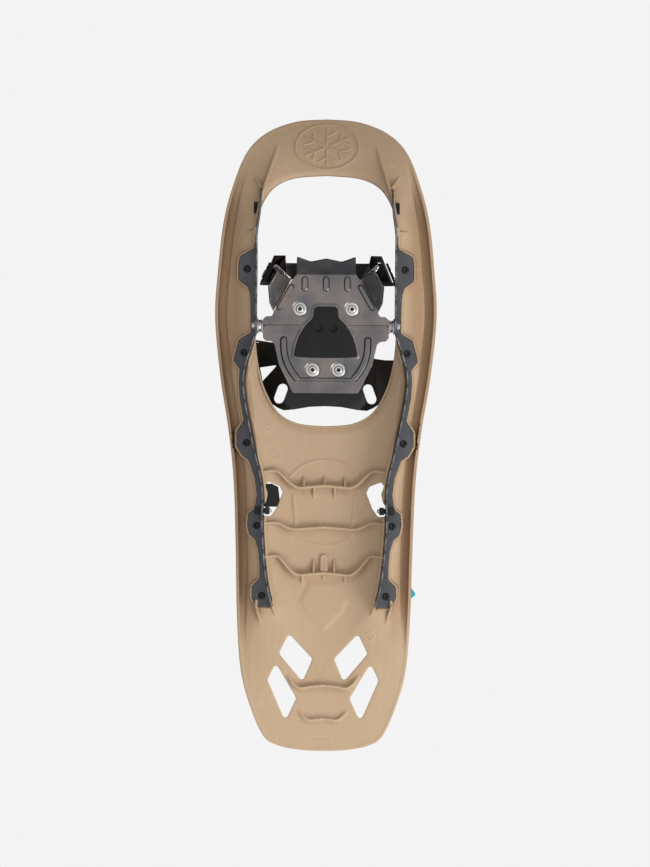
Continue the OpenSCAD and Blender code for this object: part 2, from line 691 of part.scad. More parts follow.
module heel_lift_flip_tab() color("black") on_lift(lift_x, 15) difference() {
    union() {
        rotate([90, 0, 0]) cylinder(r = 3.6, h = 22, center = true);
        translate([-18, -11, 0.2]) linear_extrude(3)
            polygon([[0, 3], [3, 0], [18, 0], [18, 22], [8, 22], [2, 19]]);
    }
    rotate([90, 0, 0]) cylinder(r = wire_r, h = 40, center = true);
}

module heel_lift_clips() color("black") both_sides() difference() {
    union() {
        // Post through the window, inside the rail
        translate([post_x - 2.2, lift_y - 3.6, 17]) cube([4.4, 7.2, lift_z - 17]);
        translate([post_x - 2.2, lift_y, lift_z]) rotate([0, 90, 0]) cylinder(r = 3.6, h = 4.4);
        // Pin through the rail and block outside it
        translate([post_x, lift_y, clip_pin_z]) rotate([0, 90, 0]) cylinder(r = clip_pin_r, h = 10);
        translate([rail_x(lift_y) + 1.2, lift_y - 3.6, 17]) cube([6.5, 7.2, 8.8]);
    }
    translate([40, lift_y, lift_z]) rotate([0, 90, 0]) cylinder(r = wire_r + fit, h = 18);
}

deck();
rail_left();
rail_right();
rail_rivets();
rail_front_clips();
pivot_bushings();
axle();
axle_clips();
toe_crampon();
crampon_pad();
crampon_screws();
crampon_washers();
binding_base();
foot_pad();
toe_cradle();
toe_strap();
toe_strap_rivets();
toe_pull_tab();
toe_buckle_frame();
toe_buckle_pin();
toe_buckle_lever();
instep_strap();
instep_strap_rivets();
instep_pull_tab();
instep_buckle_frame();
instep_buckle_pin();
instep_buckle_lever();
heel_strap();
heel_strap_rivets();
heel_pull_tab();
heel_buckle_frame();
heel_buckle_pin();
heel_buckle_lever();
heel_lift_bail();
heel_lift_rest();
heel_lift_flip_tab();
heel_lift_clips();
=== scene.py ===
"""The looks of the moulded snowshoe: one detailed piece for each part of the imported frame.
Lengths are in millimetres until a mesh is made. +Y is the toe and Z = 0 the ground under the rail teeth."""

import math

import bmesh
import bpy
import numpy as np
from mathutils import Matrix, Vector
from mathutils.geometry import delaunay_2d_cdt


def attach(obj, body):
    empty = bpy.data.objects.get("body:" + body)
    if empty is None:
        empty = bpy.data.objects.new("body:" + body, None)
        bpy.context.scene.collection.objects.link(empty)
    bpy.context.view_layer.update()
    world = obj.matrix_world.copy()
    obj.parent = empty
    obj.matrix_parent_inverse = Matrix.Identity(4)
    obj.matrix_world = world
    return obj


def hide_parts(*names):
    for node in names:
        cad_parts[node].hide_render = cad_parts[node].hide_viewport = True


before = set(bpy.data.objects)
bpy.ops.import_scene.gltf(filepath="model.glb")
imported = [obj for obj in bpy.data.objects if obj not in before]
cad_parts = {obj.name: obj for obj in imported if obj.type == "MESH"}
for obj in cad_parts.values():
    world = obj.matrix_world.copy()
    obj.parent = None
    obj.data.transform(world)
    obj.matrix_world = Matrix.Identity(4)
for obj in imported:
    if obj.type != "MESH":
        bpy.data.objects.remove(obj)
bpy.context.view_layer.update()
MM = 0.001
NEARLY_STRAIGHT = 1.55     # half a corner's angle, in radians, past which it needs no arc


# ---- Curves and distances ----


def smooth(points, steps):
    """A Catmull-Rom curve through the points, of any dimension."""
    p = np.array(points, float)
    p = np.vstack([p[:1], p, p[-1:]])
    out = [
        0.5 * (2 * b + (c - a) * t + (2 * a - 5 * b + 4 * c - d) * t**2 + (3 * b - a - 3 * c + d) * t**3)
        for a, b, c, d in zip(p, p[1:], p[2:], p[3:])
        for t in np.arange(steps) / steps
    ]
    return np.array(out + [p[-1]])


def rounded(points, radius, steps=6, closed=False):
    """The path with each corner turned into an arc."""
    p = [np.array(q, float) for q in points]
    out = [] if closed else [p[0]]
    for i in range(len(p)) if closed else range(1, len(p) - 1):
        a, b, c = p[i - 1], p[i], p[(i + 1) % len(p)]
        u, v = (a - b) / np.linalg.norm(a - b), (c - b) / np.linalg.norm(c - b)
        half = math.acos(np.clip(u @ v, -1, 1)) / 2
        if half > NEARLY_STRAIGHT:
            out.append(b)
            continue
        r = min(radius, 0.45 * min(np.linalg.norm(a - b), np.linalg.norm(c - b)) * math.tan(half))
        centre = b + (u + v) / np.linalg.norm(u + v) * r / math.sin(half)
        start, end = b + u * r / math.tan(half) - centre, b + v * r / math.tan(half) - centre
        turn = math.pi - 2 * half
        for k in range(steps + 1):
            s = turn * k / steps
            out.append(centre + (math.sin(turn - s) * start + math.sin(s) * end) / math.sin(turn))
    if not closed:
        out.append(p[-1])
    return np.array(out)


def resample(path, spacing, closed=False):
    """The path with points at an even spacing."""
    p = np.vstack([path, path[:1]]) if closed else np.array(path, float)
    lengths = np.r_[0, np.cumsum(np.linalg.norm(np.diff(p[:, :2], axis=0), axis=1))]
    n = max(2, int(round(lengths[-1] / spacing)))
    at = np.linspace(0, lengths[-1], n + 1)
    out = np.stack([np.interp(at, lengths, p[:, k]) for k in range(p.shape[1])], 1)
    return out[:-1] if closed else out


def circle(x, y, radius, step=18):
    """A ring of points, one every `step` degrees."""
    turns = np.radians(range(0, 360, step))
    return np.stack([x + radius * np.cos(turns), y + radius * np.sin(turns)], 1)


def grid(x_low, x_high, y_low, y_high, step):
    xs, ys = np.meshgrid(np.arange(x_low, x_high, step), np.arange(y_low, y_high, step))
    return np.stack([xs.ravel(), ys.ravel()], 1)


def both_sides(points):
    """The points and their mirror images."""
    return np.vstack([points, points * (-1, 1)])


def whole(half):
    """Half an outline on the +X side, and its mirror image."""
    mirrored = np.array(half, float)[::-1].copy()
    mirrored = mirrored[np.abs(mirrored[:, 0]) > 1e-6]
    mirrored[:, 0] *= -1
    return np.vstack([half, mirrored])


def normals(path, closed=False):
    """The unit normal at each point of a path, on its left."""
    p = np.array(path, float)[:, :2]
    if closed:
        d = np.roll(p, -1, 0) - np.roll(p, 1, 0)
    else:
        d = np.vstack([p[1:2] - p[:1], p[2:] - p[:-2], p[-1:] - p[-2:-1]])
    d /= np.maximum(np.linalg.norm(d, axis=1, keepdims=True), 1e-9)
    return np.stack([-d[:, 1], d[:, 0]], 1)


def distance(points, path, closed=False):
    """Each point's distance to a path, and the path's other coordinates at its nearest place."""
    p = np.array(path, float)
    a, b = (p, np.roll(p, -1, 0)) if closed else (p[:-1], p[1:])
    best = np.full(len(points), 1e9)
    extra = np.zeros((len(points), max(1, p.shape[1] - 2)))
    for s, e in zip(a, b):
        d = e[:2] - s[:2]
        t = np.clip(((points - s[:2]) @ d) / max(d @ d, 1e-12), 0, 1)
        away = np.hypot(points[:, 0] - s[0] - t * d[0], points[:, 1] - s[1] - t * d[1])
        near = away < best
        best[near] = away[near]
        if p.shape[1] > 2:
            extra[near] = s[2:] + t[near, None] * (e[2:] - s[2:])
    return best, extra


def inside(points, loop):
    """Whether each point lies in a closed loop."""
    x, y = points[:, 0], points[:, 1]
    hits = np.zeros(len(points), int)
    for (ax, ay), (bx, by) in zip(loop[:, :2], np.roll(loop[:, :2], -1, 0)):
        crosses = (ay > y) != (by > y)
        if ay != by:
            hits += crosses & (x < ax + (y - ay) * (bx - ax) / (by - ay))
    return hits % 2 == 1


def eased(t):
    """A smooth step from 0 to 1."""
    t = np.clip(t, 0, 1)
    return t * t * (3 - 2 * t)


# ---- Meshes ----


def added(name, data):
    """A new object in the scene."""
    obj = bpy.data.objects.new(name, data)
    bpy.context.scene.collection.objects.link(obj)
    return obj


def mesh_object(name, vertices, faces, material, body, slot, replaced=(), smooth_angle=40):
    """A piece made from vertices in millimetres."""
    mesh = bpy.data.meshes.new(name)
    mesh.from_pydata([tuple(MM * c for c in v) for v in vertices], [], [tuple(f) for f in faces])
    mesh.validate()
    mesh.update()
    obj = added(name, mesh)
    for m in material if isinstance(material, (list, tuple)) else [material]:
        mesh.materials.append(m)
    return finished(obj, body, replaced, smooth_angle)


def finished(obj, body, replaced=(), smooth_angle=40):
    """The shading, body and CAD nodes of a piece whose mesh is final."""
    mesh = obj.data
    mesh.polygons.foreach_set("use_smooth", [True] * len(mesh.polygons))
    mesh.set_sharp_from_angle(angle=math.radians(smooth_angle))
    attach(obj, body)
    if replaced:
        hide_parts(*replaced)
    return obj


def triangulated(loops, interior):
    """Points in the plane, the triangles over the first loop less the others, and how many points are on the
    loops. The points run through the loops and then the interior."""
    points, edges = [], []
    for loop in loops:
        n = len(points)
        points += [tuple(p[:2]) for p in loop]
        edges += [(n + i, n + (i + 1) % len(loop)) for i in range(len(loop))]
    ring_count = len(points)
    points += [tuple(p) for p in interior]
    vertices, _, faces, *_ = delaunay_2d_cdt([Vector(p) for p in points], edges, [], 0, 1e-6)
    flat = np.array([tuple(v) for v in vertices])
    triangles = np.array([f for f in faces if len(f) == 3])
    centres = flat[triangles].mean(1)
    keep = inside(centres, loops[0])
    for hole in loops[1:]:
        keep &= ~inside(centres, hole)
    return flat, triangles[keep], ring_count


class Scatter:
    """Points added in order of importance, each kept only where nothing is nearer than its room."""

    def __init__(self, cell=3.0):
        self.cell, self.cells, self.points = cell, {}, []

    def add(self, points, room):
        reach = int(math.ceil(room / self.cell))
        steps = range(-reach, reach + 1)
        for x, y in points:
            i, j = int(x // self.cell), int(y // self.cell)
            cells = (self.cells.get((i + a, j + b), ()) for a in steps for b in steps)
            if not any((u - x) ** 2 + (v - y) ** 2 < room * room for cell in cells for u, v in cell):
                self.cells.setdefault((i, j), []).append((x, y))
                self.points.append((x, y))


# ---- Materials ----


class Nodes:
    """Short names for building a material's node tree."""

    def __init__(self, name):
        self.material = bpy.data.materials.new(name)
        self.material.use_nodes = True
        self.tree = self.material.node_tree
        self.shader = self.tree.nodes["Principled BSDF"]
        self.place = self.node("ShaderNodeTexCoord").outputs["Object"]

    def node(self, kind, inputs=(), **settings):
        n = self.tree.nodes.new(kind)
        for key, value in settings.items():
            setattr(n, key, value)
        for key, value in dict(inputs).items():
            self.put(n.inputs[key], value)
        return n

    def put(self, socket, value):
        if isinstance(value, bpy.types.NodeSocket):
            self.tree.links.new(value, socket)
        else:
            socket.default_value = value

    def noise(self, size, detail=3, roughness=0.5, stretch=(1, 1, 1), seed=0.0):
        """Noise with features of about `size` millimetres, as a number from 0 to 1."""
        scale = 1 / (size * MM)
        at = self.node(
            "ShaderNodeMapping", {"Vector": self.place, "Scale": stretch, "Location": (seed, seed, 0)}
        )
        n = self.node(
            "ShaderNodeTexNoise",
            {"Vector": at.outputs[0], "Scale": scale, "Detail": detail, "Roughness": roughness},
        )
        return n.outputs[0]

    def math(self, operation, a, b=0.0, c=0.0):
        n = self.node("ShaderNodeMath", operation=operation)
        for socket, value in zip(n.inputs, (a, b, c)):
            self.put(socket, value)
        return n.outputs[0]

    def ramp(self, value, low, high, out_low=0.0, out_high=1.0):
        n = self.node(
            "ShaderNodeMapRange",
            {"Value": value, "From Min": low, "From Max": high, "To Min": out_low, "To Max": out_high},
        )
        return n.outputs[0]

    def mix(self, share, a, b):
        n = self.node("ShaderNodeMix", data_type="RGBA")
        self.put(n.inputs[0], share)
        self.put(n.inputs[6], (*a, 1) if isinstance(a, tuple) else a)
        self.put(n.inputs[7], (*b, 1) if isinstance(b, tuple) else b)
        return n.outputs[2]

    def bump(self, height, depth, before=None):
        """Bump from a height of 0 to 1, `depth` millimetres deep."""
        n = self.node("ShaderNodeBump", {"Height": height, "Strength": 1.0, "Distance": depth * MM})
        if before is not None:
            self.put(n.inputs["Normal"], before)
        return n.outputs[0]

    def finish(self, color, roughness, normal=None, metallic=0.0, **fixed):
        for key, value in (("Base Color", color), ("Roughness", roughness), ("Metallic", metallic)):
            self.put(self.shader.inputs[key], value)
        if normal is not None:
            self.put(self.shader.inputs["Normal"], normal)
        for key, value in fixed.items():
            self.shader.inputs[key.replace("_", " ")].default_value = value
        return self.material


def edges_of(m, low=0.52, high=0.6):
    """How far the surface is a convex edge, from 0 to 1."""
    return m.ramp(m.node("ShaderNodeNewGeometry").outputs["Pointiness"], low, high)


def moulded(name, color, wear_and_highlight, roughness, grain=0.7, depth=0.035, mottle=0.06, gloss=0.5, painted_channel_shade=None):
    """Moulded plastic: fine grain, faint flow mottling and scuffs, paler convex edges that are partly rubbed
    wear and partly painted highlight, and creases darkened as painted shade.
    Where the mesh's painted shade value is high, the tone nears the darker color given for painted shade."""
    m = Nodes(name)
    broad, fine = m.noise(45, 4), m.noise(grain, 2, 0.6)
    scuffs = m.ramp(m.noise(9, 6, 0.7, (1, 0.35, 1), 3.0), 0.56, 0.72)
    dark = tuple(c * (1 - mottle) for c in color)
    light = tuple(c * (1 + mottle) for c in color)
    tone = m.mix(broad, dark, light)
    # Painted shade: the tone is pulled towards the darker shade color where the mesh's value for it is high
    if painted_channel_shade:
        tone = m.mix(m.node("ShaderNodeAttribute", attribute_name="painted_channel_shade").outputs["Fac"], tone, painted_channel_shade)
    tone = m.mix(m.math("MULTIPLY", scuffs, 0.18), tone, wear_and_highlight)
    # Convex edges lightened: partly rubbed wear, partly painted highlight
    tone = m.mix(m.math("MULTIPLY", edges_of(m), 0.6), tone, wear_and_highlight)
    # Painted shade: concave creases darkened towards half the colour
    tone = m.mix(m.math("MULTIPLY", edges_of(m, 0.49, 0.42), 0.7), tone, tuple(0.5 * c for c in color))
    rough = m.ramp(m.math("ADD", m.math("MULTIPLY", broad, 0.5), m.math("MULTIPLY", fine, 0.5)), 0.3, 0.7,
                   roughness - 0.05, roughness + 0.07)
    return m.finish(tone, rough, m.bump(fine, depth), Specular_IOR_Level=gloss)


def metal(name, color, tint, roughness, metallic=1.0, stretch=(1, 1, 1), scratch=0.25, depth=0.012):
    """Steel: fine directional scratches over slow changes of tone."""
    m = Nodes(name)
    broad = m.noise(24, 3)
    lines = m.noise(0.6, 4, 0.65, stretch)
    marks = m.ramp(m.noise(3.2, 8, 0.75, (stretch[1], stretch[0], stretch[2]), 5.0), 0.6, 0.75)
    tone = m.mix(m.ramp(broad, 0.35, 0.65), color, tint)
    tone = m.mix(m.math("MULTIPLY", marks, scratch), tone, tuple(min(1, 1.6 * c) for c in color))
    rough = m.ramp(m.math("ADD", m.math("MULTIPLY", broad, 0.6), m.math("MULTIPLY", lines, 0.4)), 0.35, 0.65,
                   roughness - 0.06, roughness + 0.08)
    return m.finish(tone, rough, m.bump(lines, depth), metallic)


def rubber(name, color, roughness=0.62, grain=0.9, depth=0.06):
    m = Nodes(name)
    dust = m.ramp(m.noise(16, 5, 0.65), 0.45, 0.75)
    fine = m.noise(grain, 3, 0.6)
    tone = m.mix(m.math("MULTIPLY", dust, 0.35), color, tuple(1.5 * c + 0.006 for c in color))
    rough = m.ramp(fine, 0.3, 0.7, roughness - 0.06, roughness + 0.08)
    return m.finish(tone, rough, m.bump(fine, depth), Specular_IOR_Level=0.3)


TAN = (0.580, 0.408, 0.256)
# the paler tone of scuffs, which are wear, and of convex edges, which are partly wear and partly painted
# highlight
TAN_WEAR_AND_HIGHLIGHT = (0.80, 0.62, 0.45)
TAN_PAINTED_SHADE = (0.450, 0.290, 0.165)     # painted shade: a darker tone in the channels beside the rails, where they lie in shadow
deck_plastic = moulded("deck_plastic", TAN, TAN_WEAR_AND_HIGHLIGHT, 0.5, 0.8, 0.03, 0.03, 0.42, TAN_PAINTED_SHADE)
black_plastic = moulded("black_plastic", (0.008, 0.008, 0.0085), (0.04, 0.04, 0.042), 0.4, 0.6, 0.03, 0.2,
                        0.3)
gloss_plastic = moulded("gloss_plastic", (0.005, 0.005, 0.0055), (0.02, 0.02, 0.022), 0.2, 1.2, 0.012, 0.2,
                        0.4)
rail_steel = metal("rail_steel", (0.105, 0.11, 0.122), (0.085, 0.085, 0.093), 0.36, 0.5, (1, 6, 1), 0.12,
                   0.02)
edge_steel = metal("edge_steel", (0.34, 0.35, 0.37), (0.24, 0.25, 0.27), 0.55, 1.0, (1, 8, 1), 0.3, 0.02)
crampon_steel = metal("crampon_steel", (0.265, 0.232, 0.216), (0.165, 0.162, 0.172), 0.24, 1.0, (7, 1, 1),
                      0.3)
# Painted shade: a darker copy of the crampon steel for the folded front flap, for the darker light it
# reflects
flap_steel_painted_shade = metal("flap_steel_painted_shade", (0.115, 0.108, 0.108), (0.080, 0.080, 0.088), 0.3, 0.95, (7, 1, 1), 0.3)
bright_steel = metal("bright_steel", (0.76, 0.745, 0.72), (0.58, 0.58, 0.59), 0.2, 1.0, (1, 1, 5), 0.2)
rivet_steel = metal("rivet_steel", (0.010, 0.010, 0.011), (0.018, 0.018, 0.019), 0.28, 0.3, (1, 1, 1), 0.2)
# Painted shade: a dark steel for the screws' sockets, where little light reaches
recess_steel_painted_shade = metal("recess_steel_painted_shade", (0.05, 0.048, 0.046), (0.03, 0.03, 0.03), 0.5, 0.8, (1, 1, 1), 0.2)
pad_rubber = rubber("pad_rubber", (0.008, 0.008, 0.009))
pull_rubber = rubber("pull_rubber", (0.035, 0.42, 0.60), 0.5, 0.8, 0.04)

# ---- Camera, light and floor ----

CAMERA_FAR = 12.0      # metres from the camera to the deck
FRAME_HIGH = 0.8336    # metres of the deck's plane that the picture is high
ROLL = math.radians(0.45)
SENSOR = 36            # the camera's sensor height
DECK_PLANE = 34 * MM   # the height that the camera and the lights are aimed at
PALE = 0.9             # the pale backdrop, as linear light
SOFT_SIDE = (-0.52, -0.46, -0.72)      # the direction that most of the soft light comes from
SOFT_LOW, SOFT_HIGH = 0.14, 1.14       # its strength on the far side and on the near side
FLOOR_HALF, FLOOR_LEVEL = 6.0, -0.0005


def aimed(obj, place, target, up=Vector((0, 1, 0))):
    """Turns a camera or light at `place` to look at `target`."""
    back = (Vector(place) - Vector(target)).normalized()
    right = up.cross(back).normalized()
    turn = Matrix((right, back.cross(right), back)).transposed().to_4x4()
    obj.matrix_world = Matrix.Translation(place) @ turn


def add_camera():
    data = bpy.data.cameras.new("camera")
    data.sensor_fit = "VERTICAL"
    data.sensor_height = SENSOR
    data.lens = SENSOR * CAMERA_FAR / FRAME_HIGH
    data.clip_end = 50
    camera = added("camera", data)
    centre = Vector((0, 0.001, 0))
    up = Vector((math.sin(ROLL), math.cos(ROLL), 0))
    aimed(camera, centre + Vector((0, 0, DECK_PLANE - CAMERA_FAR)), centre + Vector((0, 0, DECK_PLANE)), up)
    bpy.context.scene.camera = camera


def add_light(name, place, size, power):
    data = bpy.data.lights.new(name, "AREA")
    data.shape = "RECTANGLE"
    data.size = data.size_y = size
    data.energy = power
    light = added(name, data)
    aimed(light, Vector(place), Vector((0, 0, DECK_PLANE)), Vector((0, 1, 0.01)))
    light.visible_camera = False


def add_world():
    """A pale backdrop for the camera. The soft light that it gives falls off away from one side."""
    world = bpy.data.worlds.new("studio")
    bpy.context.scene.world = world
    world.use_nodes = True
    tree = world.node_tree
    back = tree.nodes["Background"]
    back.inputs["Color"].default_value = (PALE, PALE, PALE, 1)
    soft = tree.nodes.new("ShaderNodeBackground")
    place = tree.nodes.new("ShaderNodeTexCoord").outputs["Generated"]
    along = tree.nodes.new("ShaderNodeVectorMath")
    along.operation = "DOT_PRODUCT"
    tree.links.new(place, along.inputs[0])
    along.inputs[1].default_value = SOFT_SIDE
    level = tree.nodes.new("ShaderNodeMapRange")
    for key, value in (("From Min", -0.8), ("From Max", 0.9), ("To Min", SOFT_LOW), ("To Max", SOFT_HIGH)):
        level.inputs[key].default_value = value
    tree.links.new(along.outputs["Value"], level.inputs["Value"])
    tree.links.new(level.outputs[0], soft.inputs["Strength"])
    seen = tree.nodes.new("ShaderNodeLightPath").outputs["Is Camera Ray"]
    mix = tree.nodes.new("ShaderNodeMixShader")
    tree.links.new(seen, mix.inputs[0])
    tree.links.new(soft.outputs[0], mix.inputs[1])
    tree.links.new(back.outputs[0], mix.inputs[2])
    tree.links.new(mix.outputs[0], tree.nodes["World Output"].inputs["Surface"])


def add_floor():
    """A pale floor that is seen from above only, and doesn't shade the underside that the camera looks at."""
    m = Nodes("floor")
    tone = m.mix(m.noise(400, 2), (0.80, 0.80, 0.80), (0.84, 0.84, 0.84))
    m.finish(tone, 0.8)
    clear = m.node("ShaderNodeBsdfTransparent")
    mix = m.node("ShaderNodeMixShader")
    m.put(mix.inputs[0], m.node("ShaderNodeNewGeometry").outputs["Backfacing"])
    m.put(mix.inputs[1], m.shader.outputs[0])
    m.put(mix.inputs[2], clear.outputs[0])
    m.put(m.tree.nodes["Material Output"].inputs["Surface"], mix.outputs[0])
    mesh = bpy.data.meshes.new("floor")
    mesh.from_pydata([(FLOOR_HALF * x, FLOOR_HALF * y, FLOOR_LEVEL)
                      for x, y in ((-1, -1), (1, -1), (1, 1), (-1, 1))], [], [(0, 1, 2, 3)])
    mesh.materials.append(m.material)
    floor = added("floor", mesh)
    floor.visible_diffuse = floor.visible_glossy = floor.visible_shadow = floor.visible_transmission = False


bpy.context.scene.view_settings.view_transform = "Standard"
add_camera()
add_world()
add_light("key_below", (-1.5, -1.0, -1.5), 1.1, 20)
add_light("key_above", (-2.2, 1.4, 3.6), 2.6, 120)
add_floor()

# ---- Shape of the deck ----

HALF_LENGTH = 304.5
SKIN = 3.0
BOSS_TOP = 39.2        # the top of the bosses round the rivets
RAIL_TOP = 28.0        # where the rails meet the deck
PANEL_RISE, WING_RISE = 10.0, 10.0
TOE_START, TOE_RISE = 190.0, 60.0
TAIL_START, TAIL_RISE = -220.0, 8.0
FLAT_LEVEL = 7.0

deck_side = [(0, 304.5), (30, 302), (58, 291), (77, 272), (90, 240), (99, 204), (104, 158), (106.5, 112),
             (101, 55), (93, 5), (87.5, -45), (85, -110), (83.5, -170), (80, -222), (72, -256),
             (58, -289), (44, -299), (22, -303.5), (0, -304.5)]
opening_side = [(0, 249), (30, 246.5), (48, 239), (59, 226), (65.5, 208), (67.1, 185), (67.1, 135),
                (67.1, 90), (63.5, 62), (57, 41), (45, 21), (26, 10.5), (0, 8)]
rail_path = np.vstack([
    [(63.5, 236), (63.5, 222)],
    smooth([(64.5, 211), (67, 192), (67, 176)], 5),
    smooth([(67, 97), (71.5, 84), (77.5, 64), (79, 50), (77.5, 34), (73.5, 12), (68, -15), (61.5, -42),
            (59.5, -62), (60, -80), (59.3, -100), (57, -128), (54, -148), (49.5, -166)], 8),
])
rivets = [(76, 158.5), (78.5, 78), (75.5, -8.5), (65.2, -88), (59.6, -155.3)]
crescent = [(54.3, -45.5), (57.2, -49), (54.5, -57), (56, -65), (58.4, -68), (58.4, -78.8), (51.5, -78.8),
            (46, -71), (40.2, -56), (43, -50)]
diamonds = [[(33.2, -191.5), (42.6, -210.6), (19.7, -238.0), (10.4, -215.8)],
            [(45.6, -219.8), (53.4, -236.2), (36.1, -276.4), (25.6, -253.8)]]

deck_half = smooth(deck_side, 10)
opening_half = smooth(opening_side, 8)


def along_y(path, y):
    """The path's X at each Y."""
    p = path[::-1]
    return np.interp(y, p[:, 1], p[:, 0])


def rail_x(y):
    return along_y(rail_path, y)


def base_level(points):
    """Height of the deck's underside, without its details. Its ridges soften towards the toe and the tail."""
    x, y = points[:, 0], points[:, 1]
    spread = 20 * eased((-150 - y) / 45) + 14 * eased((y - 205) / 35)
    return np.mean([level_at(x + spread * k, y) for k in (-1, -0.6, -0.2, 0.2, 0.6, 1)], 0)


def level_at(x, y):
    """The underside's height with sharp ridges: a panel between the rails, wings, the toe and the tail."""
    x = np.abs(x)
    wide = along_y(deck_half, y)
    ridge = np.minimum(rail_x(y), 0.72 * wide)
    flat = eased((y - 230) / 55) + 0.85 * eased((-185 - y) / 95)
    toe = TOE_RISE * (np.maximum(0, y - TOE_START) / (HALF_LENGTH - TOE_START)) ** 2
    tail = TAIL_RISE * (np.maximum(0, TAIL_START - y) / (HALF_LENGTH + TAIL_START)) ** 1.5
    panel = PANEL_RISE * (1 - (x / np.maximum(ridge, 1)) ** 4)
    wing = WING_RISE * np.sin(math.pi / 2 * np.clip((x - ridge) / np.maximum(1, wide - ridge), 0, 1))
    return RAIL_TOP + toe + tail + (1 - flat) * np.where(x < ridge, panel, wing) + flat * FLAT_LEVEL


# The outer edge of a rail's flange: a narrow strip that swells into a tab at each rivet
flange_outer = rounded([
    (67.6, 188), (69, 178), (82.5, 170.7), (83.8, 165.5), (84, 148), (74.8, 141.4), (72.2, 133), (71.6, 110),
    (71.6, 97), (83.2, 90.3), (88.4, 70.8), (81.8, 62.4), (82.6, 50), (81.6, 34), (77.6, 13), (84.5, 2.4),
    (84.5, -11.1), (79.4, -20.3), (73, -24), (66.6, -42), (64.4, -58), (66.5, -71.9), (72.5, -76.4),
    (73.7, -86.9), (71.8, -95.8), (66, -101), (62.5, -112), (61.2, -128), (61.4, -139.5), (68.7, -146.2),
    (69.1, -156.6), (63.6, -166)], 2.6, 4)


def flange_outline(inner=0.0):
    """The plan of a rail's flange on the +X side. Its inner edge lies `inner` outside the blade's middle."""
    back = [(rail_x(y) + inner, y) for y in np.arange(-166, 188, 3.0)]
    return np.vstack([flange_outer, back])


# ---- Details of the deck's underside: [x, y, drop] paths on the +X side, mirrored to the other ----

cross_ribs = [
    [(58, -36.4, 4), (48, -35.2, 5.5), (41.4, -39, 7), (32.5, -47.6, 8), (24.6, -51.4, 8.4),
     (14.3, -50.7, 8.4), (0, -49.4, 8.4)],
    [(57, -85.6, 4), (45.3, -85.3, 5), (37.5, -88.8, 6), (29.8, -91.3, 6.5), (14.3, -90.4, 6.5),
     (0, -89.4, 6.5)],
    [(56, -118, 4), (45.3, -117.2, 5.5), (40.1, -121.7, 7), (32.3, -130.8, 8), (24.6, -135.3, 8.4),
     (14.3, -134.6, 8.4), (0, -133.3, 8.4)],
]
tail_ribs = [
    [(34.5, -230.5, 0), (29.8, -238.7, 4), (22.7, -243.9, 5.6), (13, -242.6, 5.6), (0, -241.3, 5.6)],
    [(24, -264.5, 0), (19.4, -271, 2.6), (13.6, -274.9, 3.6), (6.5, -274.3, 3.6), (0, -273.6, 3.6)],
]
gussets = [
    [(19.7, -40.5, 0.8), (19.7, -50, 7.6)], [(0, -40.5, 0.8), (0, -49, 7.6)],
    [(10, -60.5, 0.6), (10, -51, 7.2)],
    [(9.8, -121, 1.5), (9.8, -133.5, 7.6)], [(20.6, -143, 0.6), (20.6, -135.5, 7)],
    [(0, -137.6, 3), (0, -134, 6)],
]
side_rib = [(rail_x(y) - 3.0, y, 3.4) for y in np.arange(78, -160, -4.0)]
side_rib = [(66.6, 92, 0.6), (68.6, 84, 2.4)] + side_rib + [(48.6, -166.5, 4.2), (44.8, -175, 0)]
tail_fin = [(64.6, -160, 7), (64.4, -168, 6.5), (60, -183, 0)]
toe_fin = [(47.2, 280, 0), (51, 267, 3.2), (56, 251, 8), (61, 235, 13), (63.4, 227, 13)]
slot_wall = [(63.6, 227, 12), (66, 215, 8), (68, 203, 5.5), (69, 192, 4.5), (69.6, 183, 3.6)]
small_fins = [[(70.7, 249.4, 0), (66.5, 243, 3.8), (62.5, 237.5, 9)], [(79.5, 194.4, 0), (70, 194.4, 3.8)]]
bay_lines = [smooth([(29, -56, 0), (29.6, -62, 0.9), (28.4, -76, 0.9), (27, -88, 0.9)], 6),
             smooth([(27.5, -94, 0.6), (25, -99, 0.5), (14, -105, 0.5), (0, -107.2, 0.5)], 6)]
ring_arc = [(41.5 * math.cos(a), -66 + 41.5 * math.sin(a), 0.7)
            for a in np.radians(np.arange(34, 90.1, 4))]
emblem_centre, emblem_size = (0, 277.5), (30.5, 22.0)


def emblem_point(radius, turn):
    """A place in the toe's round emblem, foreshortened because the toe turns up."""
    a = math.radians(turn)
    return (emblem_centre[0] + emblem_size[0] * radius * math.sin(a),
            emblem_centre[1] + emblem_size[1] * radius * math.cos(a))


def emblem_lines():
    """A ring round a plain six-armed snow star, as raised lines."""
    lines = [[(*emblem_point(1, a), 1.0) for a in range(0, 361, 6)]]
    for arm in range(0, 360, 60):
        lines.append([(*emblem_point(0.1, arm), 0.95), (*emblem_point(0.8, arm), 0.95)])
        for side in (-1, 1):
            lines.append([(*emblem_point(0.46, arm), 0.9), (*emblem_point(0.72, arm + side * 22), 0.9)])
    return lines


